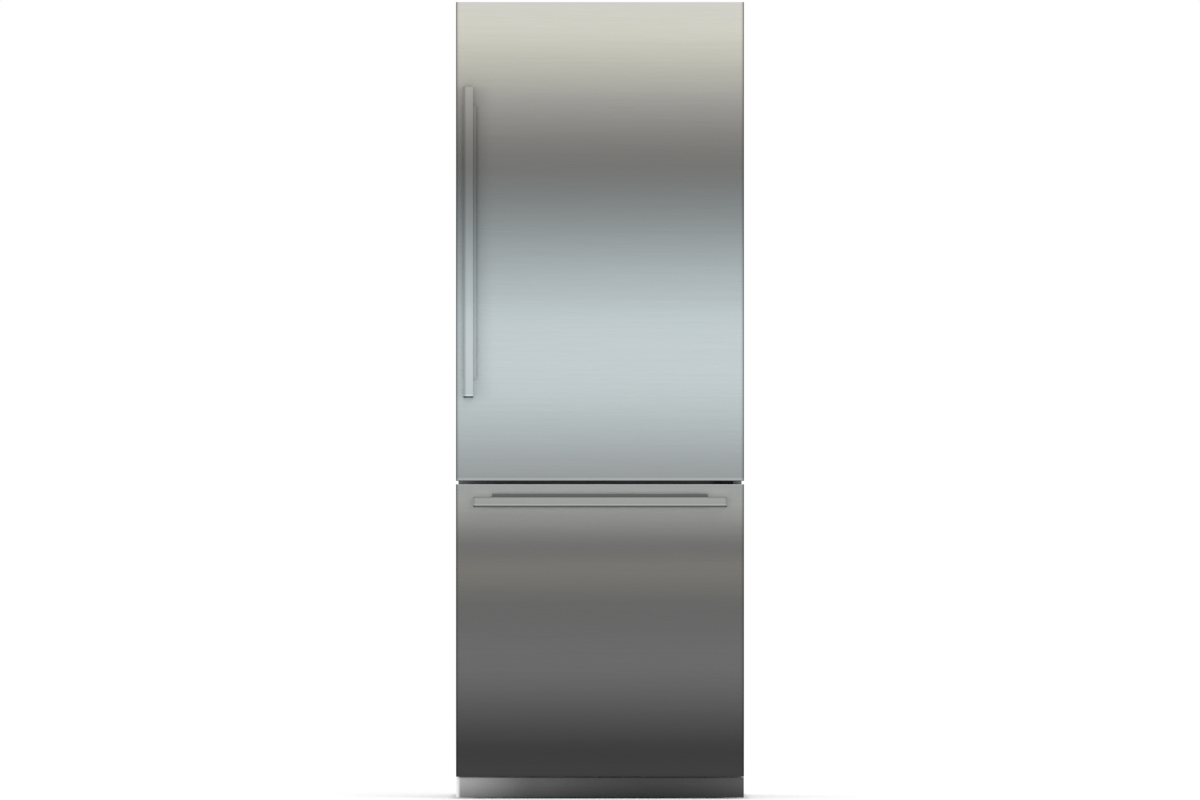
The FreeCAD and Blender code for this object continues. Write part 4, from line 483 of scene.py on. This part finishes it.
def moulded(name, colour, roughness, texture=700, depth=0.00006):
    """Moulded plastic: a fine erosion texture, slight flow clouds and uneven gloss."""
    surface = Surface(name, colour, {})
    flow = surface.noise((6, 6, 6), detail=3.0)
    pores = surface.noise((texture, texture, texture), detail=2.0)
    surface.drive("Base Color", surface.shade(colour, surface.vary(flow, 0.975, 1.015)))
    surface.drive("Roughness", surface.vary(pores, roughness - 0.05, roughness + 0.07))
    surface.bump(pores, depth, strength=0.25)
    return surface.material


def rubber(name, colour):
    """Matt rubber with a finer, deeper texture than the plastics."""
    return moulded(name, colour, roughness=0.62, texture=1400, depth=0.00008)


def cellular_foam(name):
    """Rigid foam: a skin of small closed cells."""
    colour = srgb(233, 219, 172)
    surface = Surface(name, colour, {"Roughness": 0.85})
    pores = surface.cells((420, 420, 420)).outputs["Distance"]
    clouds = surface.noise((9, 9, 9), detail=3.0)
    surface.drive("Base Color", surface.shade(colour, surface.vary(clouds, 0.9, 1.05)))
    surface.bump(pores, depth=0.0006, strength=0.5)
    return surface.material


def enamel(name, colour):
    """Thick black enamel with a slight orange peel."""
    surface = Surface(name, colour, {"Coat Weight": 0.35, "Coat Roughness": 0.18})
    peel = surface.noise((160, 160, 160), detail=2.0)
    surface.drive("Roughness", surface.vary(peel, 0.3, 0.42))
    dust = surface.noise((8, 8, 8), detail=4.0)
    surface.drive("Base Color", surface.shade(colour, surface.vary(dust, 0.85, 1.3)))
    surface.bump(peel, depth=0.00012, strength=0.25)
    return surface.material


def clear_plastic(name, colour):
    """Clear moulded plastic with a slight haze and the waves of its flow."""
    surface = Surface(name, colour, {"Transmission Weight": 0.93, "IOR": 1.49})
    flow = surface.noise((12, 12, 12), detail=3.0)
    surface.drive("Roughness", surface.vary(flow, 0.035, 0.065))
    surface.drive("Base Color", surface.shade(colour, surface.vary(flow, 0.97, 1.0)))
    surface.bump(surface.noise((45, 45, 45)), depth=0.0001, strength=0.10)
    return surface.material


def toughened_glass(name):
    """Shelf glass: clear with a faint green cast, and a slight roller wave."""
    colour = srgb(238, 246, 242)
    surface = Surface(name, colour, {"Transmission Weight": 0.97, "IOR": 1.52})
    wave = surface.noise((3, 7, 3), detail=2.0)
    surface.drive("Base Color", surface.shade(colour, surface.vary(wave, 0.98, 1.0)))
    surface.drive("Roughness", surface.vary(wave, 0.01, 0.035))
    surface.bump(wave, depth=0.0002, strength=0.05)
    return surface.material


def black_glass(name):
    """Black glass with faint smears."""
    colour = srgb(16, 16, 18)
    surface = Surface(name, colour, {"Coat Weight": 1.0, "Coat Roughness": 0.03})
    smears = surface.noise((30, 60, 30), detail=5.0)
    surface.drive("Roughness", surface.vary(smears, 0.08, 0.2))
    surface.drive("Base Color", surface.shade(colour, surface.vary(smears, 0.9, 1.15)))
    return surface.material


DIODE_PITCH = 0.0125


def lit_diffuser(name, colour, strength):
    """An opal strip, lit from inside, with the soft spots of the diodes behind it."""
    surface = Surface(name, colour, {"Roughness": 0.5, "Emission Strength": strength})
    turn = surface.math("MULTIPLY", surface.axis("Z"), 2 * math.pi / DIODE_PITCH)
    glow = surface.stretch(surface.math("SINE", turn), -1.0, 1.0, 0.82, 1.0)
    surface.drive("Emission Color", surface.shade(colour, glow))
    surface.bump(surface.noise((300, 300, 300)), depth=0.00005, strength=0.15)
    return surface.material


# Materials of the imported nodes

ZINC_COAT = srgb(172, 175, 178)
FRONT_FLANGE = 0.0015

door_steel = panel_steel("door_steel", DOOR_REFLECTION_TONES, "door_panel", DOOR_LIP_HIGHLIGHT,
                         (door_bar_shade, door_gap_painted_shade))
drawer_steel = panel_steel("drawer_steel", DRAWER_REFLECTION_TONES, "drawer_panel", DRAWER_LIP_SHADE,
                           (drawer_bar_painted_light, drawer_gap_painted_highlight))
galvanised = coated_sheet("galvanised_sheet", ZINC_COAT, metallic=0.8)
wrapper_sheet = coated_sheet("wrapper_sheet", ZINC_COAT, metallic=0.8,
                             painted_to=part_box("outer_shell")[0].y + FRONT_FLANGE)
graphite_sheet = coated_sheet("graphite_sheet", GRAPHITE, metallic=0.0, spangle=0.01,
                              roughness=0.4)
zinc = plated("zinc_plate", srgb(196, 198, 202))
screw_steel = plated("screw_plate", srgb(112, 114, 118))
blackened_steel = plated("blackened_plate", srgb(46, 47, 49))
foam = cellular_foam("rigid_foam")
white_liner = moulded("white_liner", srgb(226, 228, 230), roughness=0.3, texture=500,
                      depth=0.00005)
black_plastic = moulded("black_plastic", srgb(26, 26, 28), roughness=0.5)
grey_fan = moulded("fan_plastic", srgb(70, 72, 75), roughness=0.42)
nylon = moulded("roller_nylon", srgb(58, 58, 60), roughness=0.45)
acetal = moulded("bush_acetal", srgb(214, 213, 204), roughness=0.35)
clear_bin = clear_plastic("clear_bin", srgb(251, 253, 254))
milky_plastic = moulded("milky_plastic", srgb(214, 221, 225), roughness=0.34, texture=600,
                        depth=0.00005)
shelf_glass = toughened_glass("shelf_glass")
trim_metal = satin_metal("trim_aluminium", srgb(205, 207, 209), along_x)
grey_gasket = rubber("gasket_rubber", srgb(92, 94, 97))
black_rubber = rubber("mount_rubber", srgb(28, 28, 28))
black_enamel = enamel("black_enamel", srgb(30, 30, 33))
plain_aluminium = satin_metal("coil_aluminium", srgb(208, 210, 212), along_z, roughness=0.38)

NODE_MATERIALS = {
    "door_panel": door_steel,
    "drawer_panel": drawer_steel,
    "door_handle": bar_steel("door_bar_steel", DOOR_REFLECTION_TONES, "door_handle", along_z, "X",
                             UPRIGHT_BAR_EDGE_SHADE),
    "drawer_handle": bar_steel("drawer_bar_steel", DRAWER_REFLECTION_TONES, "drawer_handle", along_x, "Z",
                               LEVEL_BAR_EDGE_SHADE),
    # Both grips are the same liner; their shares differ as painted shade, deeper on the drawer's
    # grip
    "door_grip": grip_metal("door_grip_metal", DOOR_REFLECTION_TONES, share=0.72, run=along_z),
    "drawer_grip": grip_metal("drawer_grip_metal", DRAWER_REFLECTION_TONES, share=0.36, run=along_x),
    "toe_kick": kick_steel("toe_kick_steel", "toe_kick"),
    "outer_shell": wrapper_sheet,
    "front_rails": graphite_sheet,
    "side_lights": lit_diffuser("light_diffuser", srgb(250, 252, 255), strength=10.0),
    "control_panel": black_glass("control_glass"),
    "crisper_cover": shelf_glass,
    "shelf_trims": trim_metal,
    "refrigerant_lines": copper_tube("copper_tube"),
    "evaporators": plain_aluminium,
    "compressor": black_enamel,
    "condenser": black_enamel,
    "compressor_mounts": black_rubber,
    "door_bushes": acetal,
    "stabiliser_shaft": zinc,
    "door_hinges": blackened_steel,
    "top_bracket": zinc,
    "freezer_basket": milky_plastic,
    "freezer_tray": milky_plastic,
}
for material, labels in (
        (galvanised, ("rear_panel", "base_tray", "machine_cover")),
        (foam, ("cabinet_foam", "door_foam", "drawer_foam")),
        (white_liner, ("fridge_liner", "freezer_liner", "door_liner", "drawer_liner",
                       "freezer_duct_cover", "fridge_duct_cover")),
        (black_plastic, ("power_inlet", "drip_tray", "control_box", "fan_shroud")),
        (grey_fan, ("condenser_fan", "freezer_fan", "fridge_fan")),
        (grey_gasket, ("door_gasket", "drawer_gasket")),
        (zinc, ("runners_fixed", "runners_middle", "runners_inner"))):
    for label in labels:
        NODE_MATERIALS[label] = material
for side in ("left", "right"):
    NODE_MATERIALS[f"foot_{side}"] = zinc
    NODE_MATERIALS[f"roller_{side}"] = nylon
    NODE_MATERIALS[f"crisper_{side}"] = clear_bin
for number in (1, 2, 3):
    NODE_MATERIALS[f"door_bin_{number}"] = clear_bin
    NODE_MATERIALS[f"shelf_glass_{number}"] = shelf_glass

for label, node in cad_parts.items():
    node.data.materials.clear()
    node.data.materials.append(NODE_MATERIALS[label])


# Small fittings

# How deep a fitting sits in the face that carries it
SINK = 0.0002
BAND_THICKNESS = 0.0014
BAND_EDGE = 0.0005

SCREW_POINTS = 24
WIRE_SIDES = 8
RING_STEPS = 64

# The side of a button head, from its foot up, as shares of its radius and of its height
HEAD_OUTLINE = ((1.0, 0.0), (1.0, 0.3), (0.94, 0.62), (0.8, 0.88), (0.6, 1.0))
# Its height and its hexagon socket, as shares of the head's radius, height and socket
HEAD_HEIGHT = 0.55
SOCKET_WIDTH = 0.42
SOCKET_TAPER = 0.96
SOCKET_FLOOR = 0.35

# Radii of the heads
SMALL_HEAD = 0.0042
LARGE_HEAD = 0.0045


def new_piece(name, shape, material, body):
    """Turns a bmesh into a piece that rides on a body."""
    mesh = bpy.data.meshes.new(name)
    bmesh.ops.recalc_face_normals(shape, faces=shape.faces)
    shape.to_mesh(mesh)
    shape.free()
    mesh.materials.append(material)
    piece = bpy.data.objects.new(name, mesh)
    bpy.context.scene.collection.objects.link(piece)
    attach(piece, body)


def facing(outward):
    """The turn that brings +Z to an outward direction."""
    return Vector(outward).to_track_quat("Z", "Y").to_matrix().to_4x4()


def angles(count):
    """Angles spread evenly over a whole turn."""
    return [2 * math.pi * number / count for number in range(count)]


def on_circle(radius, angle, height=0.0):
    """A point on a circle around +Z."""
    return Vector((radius * math.cos(angle), radius * math.sin(angle), height))


def circle_ring(radius, height, points):
    return [on_circle(radius, angle, height) for angle in angles(points)]


def hexagon_ring(half_width, height, points):
    """A hexagon with as many points as the circle that it joins."""
    ring = []
    for angle in angles(points):
        radius = half_width / math.cos((angle + math.pi / 6) % (math.pi / 3) - math.pi / 6)
        ring.append(on_circle(radius, angle, height))
    return ring


def add_rings(shape, rings, turn, centre):
    """Skins a stack of point rings and closes its first and last one."""
    place = Matrix.Translation(centre) @ turn
    loops = [[shape.verts.new(place @ point) for point in ring] for ring in rings]
    for lower, upper in zip(loops, loops[1:]):
        for here in range(len(lower)):
            there = (here + 1) % len(lower)
            shape.faces.new((lower[here], lower[there], upper[there], upper[here]))
    shape.faces.new(list(reversed(loops[0])))
    shape.faces.new(loops[-1])


def add_screw(shape, centre, outward, radius):
    """A button head with a hexagon socket, standing on a face."""
    height = radius * HEAD_HEIGHT
    socket = radius * SOCKET_WIDTH
    rings = [circle_ring(radius * wide, height * high, SCREW_POINTS) for wide, high in HEAD_OUTLINE]
    rings.append(hexagon_ring(socket, height, SCREW_POINTS))
    rings.append(hexagon_ring(socket * SOCKET_TAPER, height * SOCKET_FLOOR, SCREW_POINTS))
    add_rings(shape, rings, facing(outward), Vector(centre))


def add_block(shape, low, high, edge):
    """A block with bevelled edges."""
    low, high = Vector(low), Vector(high)
    corners = bmesh.ops.create_cube(shape, size=1.0)["verts"]
    bmesh.ops.scale(shape, vec=high - low, verts=corners)
    bmesh.ops.translate(shape, vec=(low + high) / 2, verts=corners)
    edges = list(dict.fromkeys(line for corner in corners for line in corner.link_edges))
    bmesh.ops.bevel(shape, geom=edges, offset=edge, segments=2, affect="EDGES")


def add_ring_wire(shape, centre, radius, wire, outward):
    """A round wire bent to a ring that faces outward."""
    place = Matrix.Translation(centre) @ facing(outward)
    loops = []
    for angle in angles(RING_STEPS):
        out = on_circle(1.0, angle)
        loops.append([shape.verts.new(place @ (out * (radius + wire * math.cos(tilt))
                                               + Vector((0, 0, wire * math.sin(tilt)))))
                      for tilt in angles(WIRE_SIDES)])
    for here, there in zip(loops, loops[1:] + loops[:1]):
        for side in range(WIRE_SIDES):
            after = (side + 1) % WIRE_SIDES
            shape.faces.new((here[side], there[side], there[after], here[after]))


def add_wire(shape, start, end, radius):
    """A straight round wire with closed ends."""
    start, end = Vector(start), Vector(end)
    along = end - start
    rings = [circle_ring(radius, height, WIRE_SIDES) for height in (0.0, along.length)]
    add_rings(shape, rings, facing(along), start)


def screws(name, places, outward, radius, body):
    """One piece of all the screws at these places."""
    shape = bmesh.new()
    for place in places:
        add_screw(shape, place, outward, radius)
    new_piece(name, shape, screw_steel, body)


def spread(low, high, count):
    """Evenly spaced numbers from low to high, both of them included."""
    return [low + (high - low) * number / (count - 1) for number in range(count)]


def make_cover_screws():
    """Screws that hold the machine cover to the base pan and the deck."""
    low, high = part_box("machine_cover")
    inset = 0.012
    places = []
    for x in spread(low.x + inset, high.x - inset, 5):
        for z in (low.z + inset, high.z - inset):
            places.append((x, high.y, z))
    screws("cover_screws", places, (0, 1, 0), SMALL_HEAD, "cabinet")


def make_bracket_screws():
    """Screws that hold the wall bracket's plate to the cabinet's top."""
    low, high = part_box("top_bracket")
    plate = 0.002
    inset_x, inset_y = 0.02, 0.018
    places = [(x, low.y + inset_y, low.z + plate)
              for x in spread(low.x + inset_x, high.x - inset_x, 3)]
    screws("bracket_screws", places, (0, 0, 1), LARGE_HEAD, "cabinet")


def make_hinge_screws():
    """Three screws hold the top hinge plate, behind the door's swing."""
    low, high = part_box("door_hinges")
    middle = low.x + 0.026
    aside = 0.014
    back_row, front_row = high.y - 0.014, high.y - 0.036
    places = [(middle - aside, back_row, high.z), (middle + aside, back_row, high.z),
              (middle, front_row, high.z)]
    screws("hinge_screws", places, (0, 0, 1), LARGE_HEAD, "cabinet")


def make_fan_guard(node, body):
    """Moulded rings and spokes in the opening in front of a compartment fan."""
    fan_low, fan_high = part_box(f"{node}_fan")
    cover_low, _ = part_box(f"{node}_duct_cover")
    recess = 0.0012
    hub, opening, wire = 0.010, 0.0505, 0.0014
    centre = Vector((0, cover_low.y + recess, (fan_low.z + fan_high.z) / 2))
    shape = bmesh.new()
    for radius in (0.012, 0.022, 0.032, 0.042):
        add_ring_wire(shape, centre, radius, wire, (0, -1, 0))
    for angle in angles(6):
        out = Vector((math.cos(angle), 0, math.sin(angle)))
        add_wire(shape, centre + out * hub, centre + out * opening, wire)
    new_piece(f"{node}_fan_guard", shape, white_liner, body)


def make_bin_band(number):
    """A satin metal band along the rim of a door bin."""
    _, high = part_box(f"door_bin_{number}")
    reach = 0.255
    below_rim, width = 0.002, 0.016
    top = high.z - below_rim
    shape = bmesh.new()
    add_block(shape, (-reach, high.y - SINK, top - width), (reach, high.y + BAND_THICKNESS, top),
              BAND_EDGE)
    new_piece(f"bin_band_{number}", shape, trim_metal, f"door_bin_{number}")


def make_crisper_band(side):
    """A satin metal strip under the grip of a crisper."""
    low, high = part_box(f"crisper_{side}")
    inset = 0.022
    below_rim, width = 0.019, 0.011
    top = high.z - below_rim
    shape = bmesh.new()
    add_block(shape, (low.x + inset, low.y - BAND_THICKNESS, top - width),
              (high.x - inset, low.y + SINK, top), BAND_EDGE)
    new_piece(f"crisper_band_{side}", shape, trim_metal, f"crisper_{side}")


def kick_end_ring(low, high, inset):
    """The outline of a kick end, seen from the side, with the kick's rounded top fold."""
    fold = 0.002
    steps = 5
    front, back = low.y + inset, high.y - inset
    bottom, top = low.z + inset, high.z - inset
    ring = [(back, top), (back, bottom), (front, bottom)]
    for number in range(steps):
        angle = math.pi / 2 * number / (steps - 1)
        ring.append((front + fold * (1 - math.cos(angle)), top - fold * (1 - math.sin(angle))))
    return ring


def make_kick_end(side, sign):
    """A strip that brings the toe kick's end out to the side of the panels."""
    low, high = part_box("toe_kick")
    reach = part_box("drawer_panel")[1].x
    bend = 0.0012
    knee = 0.3 * bend
    shape = bmesh.new()
    rings = []
    for outward, inset in ((high.x - SINK, 0.0), (reach - bend, 0.0),
                           (reach - knee, knee), (reach, bend)):
        rings.append([Vector((sign * outward, y, z)) for y, z in kick_end_ring(low, high, inset)])
    add_rings(shape, rings, Matrix(), Vector())
    new_piece(f"kick_end_{side}", shape, NODE_MATERIALS["toe_kick"], "cabinet")


# Segments of a numeral, as (left, bottom, right, top) in a cell one wide and two high
SEGMENTS = {
    "top": (0.15, 1.85, 0.85, 2.0),
    "middle": (0.15, 0.92, 0.85, 1.08),
    "bottom": (0.15, 0.0, 0.85, 0.15),
    "upper_left": (0.0, 1.1, 0.15, 1.85),
    "upper_right": (0.85, 1.1, 1.0, 1.85),
    "lower_left": (0.0, 0.15, 0.15, 0.9),
    "lower_right": (0.85, 0.15, 1.0, 0.9),
}
NUMERALS = {
    "-": ("middle",),
    "1": ("upper_right", "lower_right"),
    "4": ("upper_left", "upper_right", "middle", "lower_right"),
    "8": tuple(SEGMENTS),
}


READOUT_DEPTH = 0.0003
TOUCH_MARKS = (-0.12, -0.09, 0.0, 0.09, 0.12)
TOUCH_RADIUS = 0.0034


def make_readout():
    """Two temperatures and a row of touch marks on the panel's front."""
    low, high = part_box("control_panel")
    light = lit_diffuser("readout_light", srgb(214, 236, 255), strength=1.6)
    size = 0.0042
    pitch = 1.5
    base = (low.z + high.z) / 2 - size
    front, back = low.y - READOUT_DEPTH, low.y + READOUT_DEPTH
    edge = 0.00008
    shape = bmesh.new()
    for text, start in (("4", -0.052), ("-18", 0.030)):
        for place, numeral in enumerate(text):
            left = start + place * size * pitch
            for segment in NUMERALS[numeral]:
                x_low, z_low, x_high, z_high = (size * share for share in SEGMENTS[segment])
                add_block(shape, (left + x_low, front, base + z_low),
                          (left + x_high, back, base + z_high), edge)
    for x in TOUCH_MARKS:
        centre = Vector((x, low.y, base + size))
        add_ring_wire(shape, centre, TOUCH_RADIUS, READOUT_DEPTH, (0, -1, 0))
    new_piece("panel_readout", shape, light, "cabinet")


make_cover_screws()
make_bracket_screws()
make_hinge_screws()
make_fan_guard("fridge", "cabinet")
make_fan_guard("freezer", "cabinet")
for number in (1, 2, 3):
    make_bin_band(number)
for side, sign in (("left", -1), ("right", 1)):
    make_crisper_band(side)
    make_kick_end(side, sign)
make_readout()


# Studio

FLOOR_REACH = 60
FLOOR_DROP = 0.0002
FLOOR_GLOW = 0.19
# How far the painted contact shadow reaches in front of and behind the base, and how much faster it
# fades at the sides
CONTACT_SHADOW_REACH = 0.12
CONTACT_SHADOW_SIDE_FACTOR = 4.0
SKY = 0.92
LAMP_TARGET = (0, 0, 1.1)
LAMP_SIZE = 2.8
FAR_CLIP = 200


def make_floor():
    """A wide pale floor, which glows faintly but not around the object's base, where the glow fades
    out into a painted contact shadow over the real one.
    """
    shape = bmesh.new()
    bmesh.ops.create_grid(shape, x_segments=1, y_segments=1, size=FLOOR_REACH)
    mesh = bpy.data.meshes.new("floor")
    shape.to_mesh(mesh)
    shape.free()
    surface = Surface("studio_floor", grey(243), {"Roughness": 0.9, "Specular IOR Level": 0.0,
                                                  "Emission Color": (1, 1, 1, 1)})
    low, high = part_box("toe_kick")
    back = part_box("outer_shell")[1].y
    middle, half = (low.y + back) / 2, (back - low.y) / 2
    beside = surface.math("SUBTRACT", surface.math("ABSOLUTE", surface.axis("X")), high.x)
    depth = surface.math("ABSOLUTE", surface.math("SUBTRACT", surface.axis("Y"), middle))
    before = surface.math("SUBTRACT", depth, half)
    away = surface.math("MAXIMUM", surface.math("MULTIPLY", beside, CONTACT_SHADOW_SIDE_FACTOR), before)
    # No glow under the base, fading in beyond it: a painted contact shadow on the floor
    surface.drive("Emission Strength",
                  surface.stretch(away, 0.0, CONTACT_SHADOW_REACH, 0.0, FLOOR_GLOW, smooth=True))
    mesh.materials.append(surface.material)
    floor = bpy.data.objects.new("floor", mesh)
    floor.location.z = -FLOOR_DROP
    bpy.context.scene.collection.objects.link(floor)


def make_world():
    """White for the camera, for gloss and for glass; a softer sky for diffuse light."""
    world = bpy.data.worlds.new("studio")
    bpy.context.scene.world = world
    world.use_nodes = True
    tree = world.node_tree
    background = tree.nodes["Background"]
    background.inputs["Color"].default_value = (1, 1, 1, 1)
    rays = tree.nodes.new("ShaderNodeLightPath")
    seen = rays.outputs["Is Camera Ray"]
    for ray in ("Is Glossy Ray", "Is Transmission Ray"):
        either = tree.nodes.new("ShaderNodeMath")
        either.operation = "MAXIMUM"
        tree.links.new(seen, either.inputs[0])
        tree.links.new(rays.outputs[ray], either.inputs[1])
        seen = either.outputs["Value"]
    strength = tree.nodes.new("ShaderNodeMapRange")
    strength.inputs["To Min"].default_value = SKY
    strength.inputs["To Max"].default_value = 1.0
    tree.links.new(seen, strength.inputs["Value"])
    tree.links.new(strength.outputs["Result"], background.inputs["Strength"])


def make_lamp(name, place, watts):
    """A square area lamp that shines at the middle of the object."""
    light = bpy.data.lights.new(name, "AREA")
    light.shape = "SQUARE"
    light.size = LAMP_SIZE
    light.energy = watts
    lamp = bpy.data.objects.new(name, light)
    bpy.context.scene.collection.objects.link(lamp)
    lamp.location = place
    lamp.rotation_mode = "QUATERNION"
    lamp.rotation_quaternion = (Vector(LAMP_TARGET) - Vector(place)).to_track_quat("-Z", "Y")


def make_camera():
    """Looks straight at the front, as high as the middle of the photograph."""
    low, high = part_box("door_panel")
    metres_per_px = (high.x - low.x) / PANEL_WIDTH_PX
    data = bpy.data.cameras.new("camera")
    data.lens = LENS_MM
    camera = bpy.data.objects.new("camera", data)
    bpy.context.scene.collection.objects.link(camera)
    distance = PHOTO_WIDTH_PX * metres_per_px * LENS_MM / data.sensor_width
    level = high.z - (PHOTO_HEIGHT_PX / 2 - TOP_EDGE_PX) * metres_per_px
    camera.location = (0, low.y - distance, level)
    camera.rotation_euler = (math.pi / 2, 0, 0)
    data.clip_end = FAR_CLIP
    bpy.context.scene.camera = camera


make_camera()
make_floor()
make_world()
make_lamp("key_light", (2.6, -4.2, 4.6), watts=55)
make_lamp("rim_light", (-3.4, 3.6, 3.8), watts=30)
bpy.context.scene.view_settings.view_transform = "Standard"
